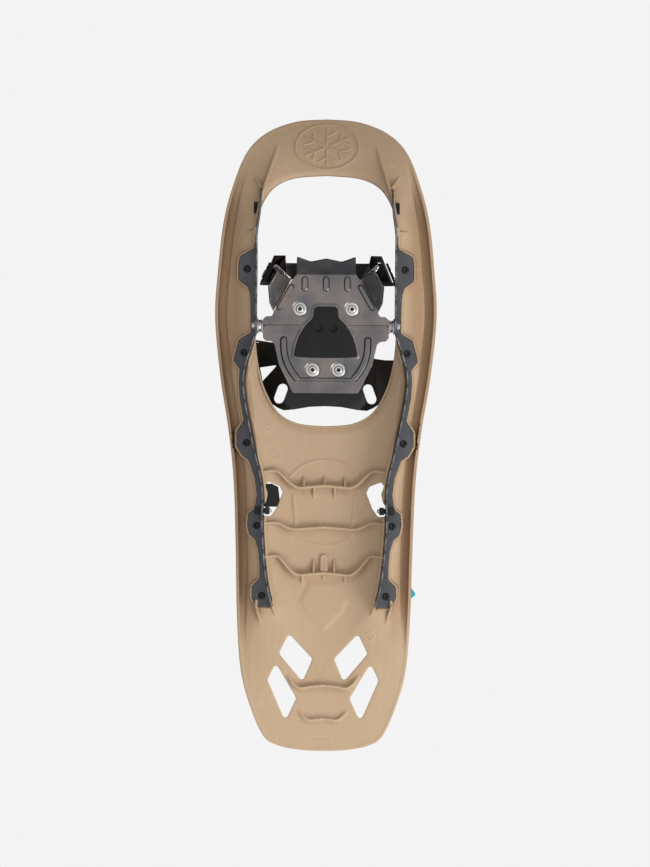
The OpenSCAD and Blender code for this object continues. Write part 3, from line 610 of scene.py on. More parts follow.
class Wall:
    """A standing line on the underside: its path with drops, its thickness, and the width of its foot."""

    def __init__(self, path, thick, foot=2.2, mirrored=True, soft=0.2, shares=(0.93, 0.22, 0.07)):
        self.path = resample(smooth(path, 6) if len(path) > 2 else np.array(path, float), 1.5)
        self.half, self.foot, self.mirrored, self.soft = thick / 2, foot, mirrored, soft
        side = self.half + 0.42
        self.knots = [0, self.half - 0.12, self.half + 0.12, side, side + 0.3 * foot, side + foot]
        self.shares = [1, 1, *shares, 0]

    def drop(self, points):
        """How far this wall stands below the skin at each point."""
        p = np.stack([np.abs(points[:, 0]), points[:, 1]], 1) if self.mirrored else points
        reach = self.half + self.foot + 1
        low, high = self.path[:, :2].min(0) - reach, self.path[:, :2].max(0) + reach
        near = ((p > low) & (p < high)).all(1)
        out = np.zeros(len(points))
        if near.any():
            away, tall = distance(p[near], self.path)
            tall = tall[:, 0]
            crown = 1 - self.soft * np.clip(away / self.half, 0, 1) ** 3 / np.maximum(tall, 1)
            out[near] = tall * np.interp(away, self.knots, self.shares) * crown
        return out

    def cap(self, end, reach, count):
        """An arc of points round the wall's first or last place, at a reach from it."""
        place, inner = self.path[end, :2], self.path[1 if end == 0 else -2, :2]
        turns = math.atan2(*(place - inner)[::-1]) + np.radians(np.linspace(-75, 75, count))
        return place + reach * np.stack([np.cos(turns), np.sin(turns)], 1)

    def points(self):
        """Rows of points along the wall, on both sides of it, with a cap round each end."""
        n = normals(self.path)
        rows = [self.path[:, :2]]
        for offset in (0.55 * self.half, *self.knots[1:]):
            rows += [self.path[:, :2] + side * offset * n for side in (-1, 1)]
            rows += [self.cap(end, offset, max(3, int(offset * 2.4))) for end in (0, -1)]
        rows = np.vstack(rows)
        return both_sides(rows) if self.mirrored else rows


def deck_walls():
    """Every standing line on the underside."""
    walls = [Wall(p, 2.2, 3.2, shares=(0.94, 0.42, 0.22)) for p in cross_ribs]
    walls += [Wall(p, 2.0, 2.2, shares=(0.94, 0.40, 0.2)) for p in tail_ribs]
    walls += [Wall(p, 2.2, 1.6) for p in gussets]
    walls += [Wall([(0, -119, 2.6), (0, -130, 5)], 7, 2.2)]
    walls += [Wall(side_rib, 2.2, 1.6), Wall(tail_fin, 2.2, 1.2), Wall(toe_fin, 2.3, 1.6),
              Wall(slot_wall, 2.2, 1.2)]
    walls += [Wall(p, 1.7, 1.0) for p in small_fins]
    walls += [Wall(p, 3.0, 1.6, soft=0.5) for p in bay_lines]
    walls += [Wall(ring_arc, 1.6, 1.2)]
    walls += [Wall(p, 0.9, 0.35, mirrored=False, soft=0.1) for p in emblem_lines()]
    for centre, radius, tall in mould_marks:
        ring = circle(*centre, radius, 20)
        walls.append(Wall([(*place, tall) for place in (*ring, ring[0])], 0.7, 0.5, mirrored=False))
    for a, b in mould_strokes:
        walls.append(Wall([(*a, 0.35), (*b, 0.35)], 0.7, 0.5, mirrored=False))
    return walls


# Marks that moulding leaves: ejector rings and the dial of a mould's date stamp, without figures
mould_marks = [((47.2, -20.3), 4.6, 0.3), ((54.5, -8), 3.0, 0.25), ((55.5, 5.5), 2.6, 0.25),
               ((-44.5, -193.5), 4.0, 0.35), ((1.4, -226.5), 3.6, 0.2), ((-15.4, -108), 1.6, 0.3),
               ((-90.5, 158), 3.4, 0.25), ((62, 262), 2.6, 0.25), ((-62, 262), 2.6, 0.25),
               ((88, -2), 3.0, 0.25), ((-91, 6), 3.2, 0.25)]
mould_strokes = [((46.5, -22.3), (47.9, -18.3)), ((-46.6, -195.6), (-42.4, -191.4)),
                 ((53.6, -10), (55.6, -6)), ((-8, -294), (9, -294.4))]
hexagon = [(15, -141), (24.2, -160), (19.6, -171.5), (0, -191.5), (-19.6, -171.5), (-24.2, -160), (-15, -141)]


def signed(points, loop):
    """Distance to a closed loop, negative inside it."""
    away, _ = distance(points, loop, closed=True)
    return np.where(inside(points, loop), -away, away)


outline = resample(whole(deck_half), 2.4, closed=True)
opening = resample(whole(opening_half), 2.0, closed=True)
window_loops = []
for loop in [crescent] + diamonds:
    ring = resample(rounded(loop, 2.6 if loop is not crescent else 2.0, 6, closed=True), 1.5, closed=True)
    window_loops += [ring, (ring * (-1, 1))[::-1]]
flange_loop = flange_outline(-1.0)


def edge_round(away, radius):
    """How far a rounded edge of this radius draws back, at a distance from it."""
    short = np.clip(radius - away, 0, radius)
    return radius - np.sqrt(np.maximum(radius**2 - short**2, 0))


def nearest_edge(points, loops):
    return np.min([distance(points, loop, closed=True)[0] for loop in loops], 0)


def underside(points, walls):
    """Height of the deck's underside with its rim, channel, seats, ribs and marks."""
    x, y = np.abs(points[:, 0]), points[:, 1]
    folded = np.stack([x, y], 1)
    z = base_level(points)
    # The turned-down rim and the channel inside it, both shallower towards the toe and the tail
    rim = distance(points, outline, closed=True)[0]
    full = eased((y + 215) / 90) * (1 - eased((y - 205) / 60))
    depth = 5.6 * full
    wide = 3.2 + 3.8 * full
    z += depth * np.interp((rim - 3.3) / wide, [0, 1, 1.13, 1.3, 1.8], [1, 1, 0.25, 0.06, 0])
    z -= (0.3 + 5.7 * full + depth) * np.interp(rim, [0, 2.7, 3.4, 4.2], [1, 1, 0.08, 0])
    # The lip round the boot opening: rolled away at the toe, a bead round the heel end
    lip = distance(points, opening, closed=True)[0]
    behind = eased((75 - y) / 30)
    z += 3.2 * (1 - behind) * np.clip(1 - lip / 6, 0, 1) ** 2 * (y > 200)
    z -= behind * 1.3 * np.interp(lip, [0, 1.5, 2.1], [1, 1, 0])
    z += behind * 1.5 * np.interp(lip, [1.5, 2.1, 3.0, 7.5], [0, 0.9, 1, 0])
    # A raised panel in front of the tail
    z -= 1.1 * eased(-signed(points, np.array(hexagon)) / 4.2)
    # Seats for the rails' flanges, with a ledge round each
    seat = signed(folded, flange_loop)
    ledge = np.interp(seat, [-5, 0.35, 0.6, 1.7, 2.0, 2.3, 3.4], [28.05, 28.05, 26.3, 26.3, 27.2, 31.5, 60])
    outside = folded[:, 0] > rail_x(y) + 1.2
    z = np.where((seat < 3.4) & (outside | (seat < 0)), np.minimum(z, ledge), z)
    z -= np.max([w.drop(points) for w in walls], 0)
    edge = nearest_edge(points, [outline, opening] + window_loops)
    return z + edge_round(edge, 0.9)


def deck_top(points):
    """Height of the deck's upper side."""
    x, y = np.abs(points[:, 0]), points[:, 1]
    z = base_level(points) + SKIN
    rim = distance(points, outline, closed=True)[0]
    full = eased((y + 215) / 90) * (1 - eased((y - 205) / 60))
    z += 4.2 * full * np.interp(rim, [0, 2.2, 4, 8, 10.5, 13], [0.1, 0.75, 1, 1, 0.3, 0])
    # A raised spine over each rail, and cleats across the panel
    spine = np.abs(x - rail_x(y))
    z += 1.4 * (1 - eased((spine - 3.2) / 2.2)) * eased((60 - y) / 25) * eased((y + 170) / 20)
    for w in top_cleats:
        z += w.drop(points)
    # Bosses round the rivets
    for rx, ry in rivets:
        away = np.hypot(x - rx, y - ry)
        z = np.where(away < 9, np.maximum(z, BOSS_TOP - 9 * eased((away - 6.3) / 2.6)), z)
    edge = nearest_edge(points, [outline, opening] + window_loops)
    return z - edge_round(edge, 1.1)


top_cleats = [Wall([(6, y, 1.5), (20, y - 5, 1.5), (34, y - 3, 0.9)], 3.4, 1.6)
              for y in (-16, -34, -106, -122)]
top_cleats += [Wall([(4, y, 1.2), (14, y - 6, 1.2)], 3.0, 1.4) for y in (-196, -252, -282)]
top_cleats += [Wall([(0, 262, 1.2), (22, 268, 1.2), (40, 262, 0.6)], 3.0, 1.4),
               Wall([(0, 282, 1.2), (20, 284, 1.2), (36, 278, 0.6)], 3.0, 1.4)]


def grid_points(spacing):
    """A grid over the deck whose rows are staggered."""
    rows = []
    for j, y in enumerate(np.arange(-304, 304, spacing * 0.866)):
        x = np.arange(-106, 106, spacing) + (spacing / 2 if j % 2 else 0)
        rows.append(np.stack([x, np.full(len(x), y)], 1))
    return np.vstack(rows)


def clear_of(points, loops, room):
    """The points that lie in the deck and keep this far from its edges."""
    keep = inside(points, loops[0])
    for hole in loops[1:]:
        keep &= ~inside(points, hole)
    points = points[keep]
    return points[nearest_edge(points, loops) > room]


def ccw(loop):
    """The loop, running anticlockwise."""
    area = np.sum(loop[:, 0] * np.roll(loop[:, 1], -1) - np.roll(loop[:, 0], -1) * loop[:, 1])
    return loop if area > 0 else loop[::-1]


EDGE_ROWS = [0.12, 0.4, 0.9]
RIM_ROWS = [1.6, 2.7, 3.0, 3.4, 4.2, 5.6, 6.8, 7.9, 8.6, 9.8, 10.3, 10.8, 11.6, 13.5]
LIP_ROWS = [1.5, 1.8, 2.1, 3.0, 4.4, 6.0, 7.5]
TOP_RIM_ROWS = [1.6, 2.6, 4.0, 6.0, 8.0, 9.3, 10.5, 12, 14]


def edge_points(loops, rows, room):
    """Rows of points inside each of the deck's edges. `rows` gives the offsets past the first three."""
    scatter = Scatter()
    for k, loop in enumerate(loops):
        n = normals(loop, closed=True) * (1 if k == 0 else -1)
        for offset in EDGE_ROWS + rows[min(k, 2)]:
            scatter.add(loop + n * offset, 0.2 if offset < 1 else room)
    return clear_of(np.array(scatter.points), loops, 0.05)


def underside_points(loops, walls):
    """Points that carry the underside's shape: its walls, edges, seats and raised panel, then a grid."""
    scatter = Scatter()
    for w in walls:
        scatter.add(clear_of(w.points(), loops, 0.35), 0.24 if w.half < 0.6 else 0.34)
    scatter.add(edge_points(loops, [RIM_ROWS, LIP_ROWS, []], 0.4), 0.2)
    edge = resample(flange_outer, 1.5)
    n = normals(edge)
    seats = np.vstack([edge + n * offset for offset in (-0.5, 0.3, 0.6, 1.15, 1.7, 2.0, 2.3, 2.8, 3.4)])
    scatter.add(clear_of(both_sides(seats), loops, 0.3), 0.22)
    panel = resample(np.array(hexagon, float), 2.0, closed=True)
    n = normals(panel, closed=True)
    scatter.add(np.vstack([panel + n * k for k in (0, 1.4, 2.8, 4.2, -1.4, -2.8, -4.2)]), 0.6)
    scatter.add(clear_of(grid_points(2.5), loops, 1.0), 1.35)
    return scatter.points


def top_points(loops):
    """Points that carry the upper side's shape: its edges, cleats and bosses, then a grid."""
    scatter = Scatter()
    scatter.add(edge_points(loops, [TOP_RIM_ROWS, [1.6, 3], [1.6, 3]], 0.6), 0.2)
    for w in top_cleats:
        scatter.add(clear_of(w.points(), loops, 0.4), 0.34)
    for x, y in rivets:
        for r in (2.7, 4.4, 6.0, 6.6, 7.4, 8.2, 9.0):
            scatter.add(both_sides(circle(x, y, r, 15)), 0.4)
    scatter.add(clear_of(grid_points(3.2), loops, 1.2), 1.7)
    return scatter.points


def build_deck():
    """Two sheets over the same loops, and a wall between them along each loop."""
    loops = [ccw(outline), ccw(opening)] + [ccw(w) for w in window_loops]
    walls = deck_walls()
    flat, triangles, _ = triangulated(loops, underside_points(loops, walls))
    top_flat, top_triangles, _ = triangulated(loops, top_points(loops))
    vertices = np.vstack([np.c_[flat, underside(flat, walls)], np.c_[top_flat, deck_top(top_flat)]])
    shift = len(flat)
    faces = [tuple(t[::-1]) if cross_z(flat[t]) > 0 else tuple(t) for t in triangles]
    faces += [tuple(t + shift) if cross_z(top_flat[t]) > 0 else tuple(t[::-1] + shift) for t in top_triangles]
    start = 0
    for k, loop in enumerate(loops):
        count = len(loop)
        for i in range(count):
            a, b = start + i, start + (i + 1) % count
            quad = (a, b, b + shift, a + shift)
            faces.append(quad if k == 0 else quad[::-1])
        start += count
    obj = mesh_object("deck_shell", vertices, faces, deck_plastic, "root", "deck_plastic", ["deck"], 38)
    # Painted shade: a value on the underside that darkens the tone in the channels beside the rails, where
    # shadow falls
    x, y = np.abs(flat[:, 0]), flat[:, 1]
    painted_shade_share = eased((x - rail_x(y) - 8) / 12) * eased((y + 215) / 60) * (1 - eased((y - 195) / 50))
    painted_channel_shade = obj.data.attributes.new("painted_channel_shade", "FLOAT", "POINT")
    painted_channel_shade.data.foreach_set("value", np.r_[painted_shade_share, np.zeros(len(top_flat))])


def cross_z(t):
    return (t[1][0] - t[0][0]) * (t[2][1] - t[0][1]) - (t[1][1] - t[0][1]) * (t[2][0] - t[0][0])


build_deck()

# ---- Plates, lathes and tubes ----


def inset(loop, amount):
    """The closed loop drawn in by an amount, with mitred corners. The loop runs anticlockwise."""
    p = np.array(loop, float)
    before, after = p - np.roll(p, 1, 0), np.roll(p, -1, 0) - p
    before /= np.linalg.norm(before, axis=1, keepdims=True)
    after /= np.linalg.norm(after, axis=1, keepdims=True)
    mean = before + after
    mean /= np.maximum(np.linalg.norm(mean, axis=1, keepdims=True), 1e-6)
    inward = np.stack([-mean[:, 1], mean[:, 0]], 1)
    stretch = 1 / np.maximum(np.sum(mean * before, 1), 0.5)
    return p + inward * (amount * stretch)[:, None]


def plate_mesh(loops, z0, z1, bevel=0.4, steps=2, interior=(), height=None):
    """Vertices and faces of a plate with rounded edges. The first loop is the outline and the rest are holes.
    `height` moves both faces by a function of X and Y."""
    loops = [ccw(np.array(loop, float)) for loop in loops]
    signs = [1] + [-1] * (len(loops) - 1)
    turns = [math.pi / 2 * k / steps for k in range(steps + 1)]
    levels = [(bevel * (1 - math.sin(a)), z0 + bevel * (1 - math.cos(a))) for a in turns]
    levels += [(inward, z0 + z1 - z) for inward, z in reversed(levels)]
    vertices, faces, caps = [], [], []
    for loop, sign in zip(loops, signs):
        rings = []
        for inward, z in levels:
            ring = inset(loop, inward * sign)
            rings.append(len(vertices))
            vertices += [(x, y, z) for x, y in ring]
        caps.append((inset(loop, levels[0][0] * sign), rings[0], rings[-1]))
        count = len(loop)
        for low, high in zip(rings, rings[1:]):
            for i in range(count):
                j = (i + 1) % count
                quad = (low + i, low + j, high + j, high + i)
                faces.append(quad if sign == 1 else quad[::-1])
    flat, triangles, ring_count = triangulated([c[0] for c in caps], list(interior))
    for which, z in ((1, z0), (2, z1)):
        index = [caps[k][which] + i for k in range(len(loops)) for i in range(len(loops[k]))]
        start = len(vertices)
        vertices += [(x, y, z) for x, y in flat[ring_count:]]
        index += list(range(start, start + len(flat) - ring_count))
        for a, b, c in triangles:
            up = cross_z(flat[[a, b, c]]) > 0
            face = (index[a], index[b], index[c])
            faces.append(face if up == (which == 2) else face[::-1])
    vertices = np.array(vertices)
    if height is not None:
        vertices[:, 2] += height(vertices[:, :2])
    return vertices, faces


def ring_faces(rings, sides):
    """Quads between rings of vertices that follow each other, then a cap on the first ring and the last."""
    faces = [(k * sides + i, k * sides + j, (k + 1) * sides + j, (k + 1) * sides + i)
             for k in range(rings - 1) for i, j in zip(range(sides), [*range(1, sides), 0])]
    last = (rings - 1) * sides
    return faces + [tuple(range(sides))[::-1], tuple(range(last, last + sides))]


def lathe(profile, centre, axis, sides=40, flats=()):
    """A profile of (radius, height) turned round an axis, with its ends closed. `flats` gives the levels
    whose ring is a hexagon of that radius."""
    axis = Vector(axis).normalized()
    side = axis.orthogonal().normalized()
    other = axis.cross(side)
    sixth = math.pi / 6
    vertices = []
    for k, (radius, height) in enumerate(profile):
        for i in range(sides):
            a = 2 * math.pi * i / sides
            hexagonal = math.cos(sixth) / math.cos((a + sixth) % (2 * sixth) - sixth)
            r = radius * hexagonal if k in flats else radius
            round_axis = side * r * math.cos(a) + other * r * math.sin(a)
            vertices.append(tuple(Vector(centre) + axis * height + round_axis))
    return vertices, ring_faces(len(profile), sides)


def tube(path, radius, sides=16):
    """Vertices and faces of a round bar along a path in space, with rounded ends."""
    p = np.array(path, float)
    d = np.gradient(p, axis=0)
    d /= np.linalg.norm(d, axis=1, keepdims=True)
    up = Vector((0, 0, 1)) if abs(d[0][2]) < 0.9 else Vector((1, 0, 0))
    vertices = []
    side = Vector(d[0]).cross(up).normalized()
    rings = [(p[0] - d[0] * radius * 0.5, d[0], 0.55)] + [(a, b, 1) for a, b in zip(p, d)]
    rings.append((p[-1] + d[-1] * radius * 0.5, d[-1], 0.55))
    for place, direction, share in rings:
        direction = Vector(direction)
        side = (side - direction * side.dot(direction)).normalized()
        other = direction.cross(side)
        for i in range(sides):
            a = 2 * math.pi * i / sides
            round_path = (side * math.cos(a) + other * math.sin(a)) * radius * share
            vertices.append(tuple(Vector(place) + round_path))
    return vertices, ring_faces(len(rings), sides)


def joined(parts):
    """Several (vertices, faces) as one, with each part's faces after the last."""
    vertices, faces = [], []
    for v, f in parts:
        shift = len(vertices)
        vertices += [tuple(p) for p in v]
        faces += [tuple(i + shift for i in face) for face in f]
    return vertices, faces


def mirrored_part(part):
    v, f = part
    return [(-x, y, z) for x, y, z in v], [face[::-1] for face in f]


def in_pairs(parts):
    """Each part and its mirror image."""
    return [p for part in parts for p in (part, mirrored_part(part))]


def outward(obj):
    """Turns every face to look out of its solid."""
    mesh = bmesh.new()
    mesh.from_mesh(obj.data)
    bmesh.ops.recalc_face_normals(mesh, faces=mesh.faces)
    mesh.to_mesh(obj.data)
    mesh.free()
    return obj


def solid(name, parts, material, body, slot, replaced=(), smooth_angle=40):
    """One piece made of several closed parts."""
    return outward(mesh_object(name, *joined(parts), material, body, slot, replaced, smooth_angle))


def weighted(obj):
    obj.modifiers.new("even_shading", "WEIGHTED_NORMAL").keep_sharp = True
    return obj


def refined(node, name, material, body, bevel=0.4, segments=2, angle=34, split=60):
    """A piece shaped as its CAD node, with its facets joined and its edges rounded."""
    mesh = bmesh.new()
    mesh.from_mesh(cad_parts[node].data)
    bmesh.ops.remove_doubles(mesh, verts=mesh.verts, dist=2e-6)
    bmesh.ops.dissolve_limit(mesh, angle_limit=math.radians(1.2), verts=mesh.verts, edges=mesh.edges)
    data = bpy.data.meshes.new(name)
    mesh.to_mesh(data)
    mesh.free()
    data.materials.clear()
    data.materials.append(material)
    obj = added(name, data)
    round_edges = obj.modifiers.new("round_edges", "BEVEL")
    round_edges.width = bevel * MM
    round_edges.segments = segments
    round_edges.limit_method = "ANGLE"
    round_edges.angle_limit = math.radians(angle)
    round_edges.use_clamp_overlap = True
    weighted(obj)
    return finished(obj, body, [node], split)


# ---- Rails ----

TOOTH_PITCH, TOOTH_COUNT = 16.0, 21
TOOTH_TURNS = [0, 0.06, 0.30, 0.36, 0.62, 0.70, 0.94]      # where a tooth's lower edge turns, along its pitch
RAIL_REAR, RAIL_FRONT = -166.0, 236.0
FIRST_TOOTH, LAST_TOOTH = RAIL_REAR + 14, 184.0
RAIL_STEEL = 2.0


def rail_bottom(y):
    """Height of the blade's lower edge: teeth, then a slope up to the toe."""
    phase = ((y - FIRST_TOOTH) % TOOTH_PITCH) / TOOTH_PITCH
    teeth = np.interp(phase, [*TOOTH_TURNS, 1], [0.3, 0, 0, 0.5, 5.5, 5.5, 0.9, 0.3])
    rear = np.interp(y, [RAIL_REAR, RAIL_REAR + 3, FIRST_TOOTH], [17.5, 15.5, 0.4])
    front = np.interp(y, [LAST_TOOTH, 200, 222, RAIL_FRONT], [0, 1.5, 12, 27.5])
    return np.where(y < FIRST_TOOTH, rear, np.where(y > LAST_TOOTH, front, teeth))


def rail_top(y):
    """Height of the blade's upper edge, inside the flange plate. It rises with the toe."""
    lift = TOE_RISE * (np.maximum(0, y - TOE_START) / (HALF_LENGTH - TOE_START)) ** 2
    return RAIL_TOP - 0.5 + lift


def build_rail(name, node, side):
    """A toothed blade whose ground edge is bare steel, and its flange plate. `side` is 1 on the right."""
    ys = np.unique(np.round(np.concatenate([
        np.arange(RAIL_REAR, RAIL_FRONT + 0.1, 2.0),
        [FIRST_TOOTH + TOOTH_PITCH * (k + turn) for k in range(TOOTH_COUNT) for turn in TOOTH_TURNS],
    ]), 3))
    x = rail_x(ys)
    slope = np.gradient(x, ys)
    n = np.stack([np.ones_like(slope), -slope], 1) / np.hypot(1, slope)[:, None]
    low, high = rail_bottom(ys), rail_top(ys)
    half, round_off = RAIL_STEEL / 2, 0.55
    middle = np.minimum(low + 5, high - 0.1)
    section = [(half, high), (half, middle), (half, low + round_off), (half - round_off, low),
               (-half + round_off, low), (-half, low + round_off), (-half, middle), (-half, high)]
    count = len(section)
    blade_v = [(x[i] + n[i][0] * out, ys[i] + n[i][1] * out, level[i])
               for i in range(len(ys)) for out, level in section]
    blade = blade_v, ring_faces(len(ys), count)
    holes = [circle(*place, 2.45, 20) for place in rivets]
    plate_v, plate_f = plate_mesh([flange_outline()] + holes, RAIL_TOP - RAIL_STEEL, RAIL_TOP - 0.02, 0.35)
    plate_v[:, 2] -= 0.075 * np.maximum(0, 17 - (plate_v[:, 0] - rail_x(plate_v[:, 1])))
    v, f = joined([blade, (plate_v, plate_f)])
    obj = mesh_object(name, [(side * x, y, z) for x, y, z in v], f, [rail_steel, edge_steel], "root",
                      "rail_steel", [node], 38)
    for k in range(3, (len(ys) - 1) * count, count):
        obj.data.polygons[k].material_index = 1
    outward(obj)
    obj.data.set_sharp_from_angle(angle=math.radians(38))
    weighted(obj)


build_rail("rail_blade_right", "rail_right", 1)
build_rail("rail_blade_left", "rail_left", -1)


def build_rivets():
    """Round rivets with a dimpled head under each tab and a broad head on the deck."""
    low = RAIL_TOP - RAIL_STEEL
    profile = [(r, low + z) for r, z in ((0.9, -0.9), (1.1, -1.0), (1.7, -1.75), (2.3, -1.9), (3.1, -1.6),
                                         (3.7, -0.8), (3.85, 0), (2.4, 0))]
    profile += [(r, BOSS_TOP + z) for r, z in ((2.4, 0), (4.5, 0), (4.55, 0.5), (4.1, 1.2), (3.0, 1.5),
                                               (1.6, 1.5), (1.2, 1.0), (0.6, 0.9))]
    heads = [lathe(profile, (x, y, 0), (0, 0, 1), 28) for x, y in rivets]
    solid("rivet_set", in_pairs(heads), rivet_steel, "root", "rivet_steel", ["rail_rivets"], 50)


build_rivets()
for node in ("rail_front_clips", "heel_lift_clips"):
    refined(node, node + "_moulded", black_plastic, "root", 0.5)
refined("pivot_bushings", "pivot_bushing_pair", bright_steel, "root", 0.35)

# ---- Crampon ----

PLATE_Z, PLATE_STEEL = 16.45, 2.0
PLATE_STEP, STEP_Y = 0.45, 101.5       # how far the plate's heel half stands down, and where it starts
AXLE_Y, AXLE_Z = 104.0, 22.0
screws = [(25, 120.5), (12.5, 62)]
FOLD = math.radians(45)
BEND_R = 1.6
front_fold = ((28.7, 153.0), (-28.7, 153.0))
side_fold = ((50.0, 117.5), (32.2, 148.7))
beads = [Wall([(20.4, 148.6, 1.9), (20.4, 140.5, 1.9)], 4.2, 1.3),
         Wall([(0, 148.6, 1.9), (0, 140.5, 1.9)], 4.2, 1.3),
         Wall([(44.6, 121.6, 1.9), (33.2, 141.5, 1.9)], 3.2, 1.3),
         Wall([(40.4, 90.5, 1.9), (40, 80, 1.9), (37.6, 70, 1.9), (33, 61, 1.8), (27.8, 54, 1.6)], 3.8, 1.7),
         Wall([(25.6, 52.8, 1.3), (0, 52.8, 1.3)], 1.2, 1.2),
         Wall([(58.5, 104, 0.8), (20, 104, 0.8)], 0.6, 0.9)]
pad_side = smooth([(0, 123.2), (9, 123), (12, 119.5), (13, 112), (20, 104.5), (27, 92), (30.5, 77.5),
                   (27, 74), (0, 73)], 4)
pad_rim = resample(whole(pad_side), 1.5, closed=True)
dimple_x, dimple_y = 6.8, 102.2


def beside(fold, along, out):
    """A place given along a fold line and out from it."""
    a, b = np.array(fold[0]), np.array(fold[1])
    u = (b - a) / np.linalg.norm(b - a)
    return tuple(a + along * u + out * np.array([u[1], -u[0]]))


crampon_half = [(0, 173.4), (13.8, 169.4), (15.8, 169.6), (27.2, 175.3), (28.3, 175.2), (28.5, 153.4),
                (30.2, 151.4)]
crampon_half += [beside(side_fold, *p) for p in ((35.2, 0.2), (36.2, 2.5), (40.8, 21.2), (39.6, 22.2),
                                                 (19.4, 22.3), (17.6, 21.4), (5.2, 9.2), (0.6, 0.2))]
crampon_half += [(51.2, 114.8), (52.4, 113.2), (57.5, 113.2), (60.4, 110.4), (60.4, 92.6), (57.5, 89.5),
                 (53.4, 89.5), (51, 88.4), (49.2, 86), (44.9, 67), (31.6, 40.2), (30.4, 39.5), (0, 39.5)]


def bead_share(wall, away):
    """The rounded section of a stamped bead."""
    return eased((wall.half + wall.foot - away) / (0.85 * wall.foot + 0.1))


def plate_drop(points):
    """How far the crampon plate's beads, steps and rings stand down towards the ground."""
    folded_x = np.stack([np.abs(points[:, 0]), points[:, 1]], 1)
    drop = np.zeros(len(points))
    for wall in beads:
        away, tall = distance(folded_x, wall.path)
        drop = np.maximum(drop, tall[:, 0] * bead_share(wall, away))
    rim = signed(points, pad_rim)
    drop = np.maximum(drop, 0.8 * np.interp(rim, [0, 0.3, 1.7, 2.5], [1, 1, 0.85, 0]))
    for sx, sy in screws:
        away = np.hypot(folded_x[:, 0] - sx, points[:, 1] - sy)
        drop -= 0.5 * np.interp(away, [6.9, 7.9], [1, 0])
    return drop + PLATE_STEP * eased((STEP_Y - points[:, 1]) / 3.5)


def folded(points, heights, fold):
    """Bends the part of a flat sheet that lies outside a fold line down by the fold angle."""
    a, b = np.array(fold[0]), np.array(fold[1])
    along = (b - a) / np.linalg.norm(b - a)
    out = np.array([along[1], -along[0]])
    reach, place = (points - a) @ out, (points - a) @ along
    beyond = (reach > 0) & (place > -0.3) & (place < np.linalg.norm(b - a) + 0.3)
    angle = np.clip(reach / BEND_R, 0, FOLD)
    straight = np.maximum(0, reach - BEND_R * FOLD)
    h = heights - (PLATE_Z - BEND_R)
    flat = np.sin(angle) * h + math.cos(FOLD) * straight
    level = PLATE_Z - BEND_R + np.cos(angle) * h - math.sin(FOLD) * straight
    moved = np.where(beyond[:, None], a + place[:, None] * along + flat[:, None] * out, points)
    return moved, np.where(beyond, level, heights)


def build_crampon():
    """The stamped plate. It is shaped flat, with its beads and steps, and then folded."""
    loop = ccw(resample(rounded(whole(crampon_half), 0.8, 3, closed=True), 1.3, closed=True))
    holes = [circle(s * x, y, 2.6) for x, y in screws for s in (-1, 1)]
    loops = [loop] + holes
    scatter = Scatter()
    for wall in beads:
        n = normals(wall.path)
        across = [0, 0.5 * wall.half] + [wall.half + k * wall.foot for k in (0, 0.3, 0.65, 1)]
        rows = [wall.path[:, :2] + n * k * side for side in (-1, 1) for k in across]
        rows += [wall.cap(end, k, 7) for end in (0, -1) for k in np.linspace(0.8, across[-1], 4)]
        scatter.add(clear_of(both_sides(np.vstack(rows)), loops, 0.8), 0.35)
    pn = normals(pad_rim, closed=True)
    for offset in (-2.5, -1.7, -0.3, 0, 0.3, 1.7, 2.5):
        scatter.add(clear_of(pad_rim + pn * offset, loops, 0.8), 0.3)
    for x, y in screws:
        for r in (6.6, 6.9, 7.4, 7.9, 8.3):
            scatter.add(clear_of(both_sides(circle(x, y, r, 12)), loops, 0.8), 0.3)
    for fold in (front_fold, side_fold):
        span = np.linalg.norm(np.array(fold[1]) - fold[0])
        for reach in np.r_[-0.5, 0.02, np.linspace(0.2, 1, 4) * BEND_R * FOLD, 2.0]:
            row = np.array([beside(fold, k, reach) for k in np.linspace(0.9, span - 0.9, 30)])
            scatter.add(clear_of(both_sides(row), loops, 0.6), 0.15)
    scatter.add(clear_of(grid(-66, 66, 38, 178, 2.4), loops, 1.1), 1.2)
    v, f = plate_mesh(loops, PLATE_Z, PLATE_Z + PLATE_STEEL, 0.32, 2, scatter.points)
    v[:, 2] -= plate_drop(v[:, :2])
    points, heights = folded(v[:, :2], v[:, 2], front_fold)
    points, heights = folded(points, heights, side_fold)
    points, heights = folded(points * (-1, 1), heights, side_fold)
    obj = mesh_object("crampon_plate", np.c_[points * (-1, 1), heights], f, [crampon_steel, flap_steel_painted_shade],
                      "binding", "crampon_steel", ["toe_crampon"], 36)
    # Painted shade: the front flap's faces take the darker copy of the steel
    for face in obj.data.polygons:
        x, y, _ = (c / MM for c in face.center)
        if y > front_fold[0][1] and abs(x) < front_fold[0][0]:
            face.material_index = 1
    weighted(outward(obj))


build_crampon()


def build_crampon_pad():
    """The bell-shaped pad: domed, with soft edges and two dimples."""
    loop = ccw(resample(whole(pad_side), 1.8, closed=True))
    loop = inset(loop, 0.35)
    scatter = Scatter()
    for side in (-1, 1):
        for r in (1.2, 2.4, 3.2, 3.6, 4.0, 4.8):
            scatter.add(circle(side * dimple_x, dimple_y, r, 20), 0.3)
    scatter.add(clear_of(grid(-31, 32, 72, 125, 1.7), [loop], 1.6), 1.0)
    low = PLATE_Z - 2.4
    v, f = plate_mesh([loop], low, PLATE_Z + 0.3, 1.0, 3, scatter.points)
    under = v[:, 2] < low + 0.02
    p = v[under, :2]
    dimple = np.hypot(np.abs(p[:, 0]) - dimple_x, p[:, 1] - dimple_y)
    v[under, 2] -= 0.5 * eased(distance(p, loop, closed=True)[0] / 9)
    v[under, 2] += 1.9 * np.interp(dimple, [0, 2.4, 3.2, 3.8, 4.6], [1, 1, 0.85, 0.1, 0])
    outward(mesh_object("bell_pad", v, f, pad_rubber, "binding", "pad_rubber", ["crampon_pad"], 50))


build_crampon_pad()


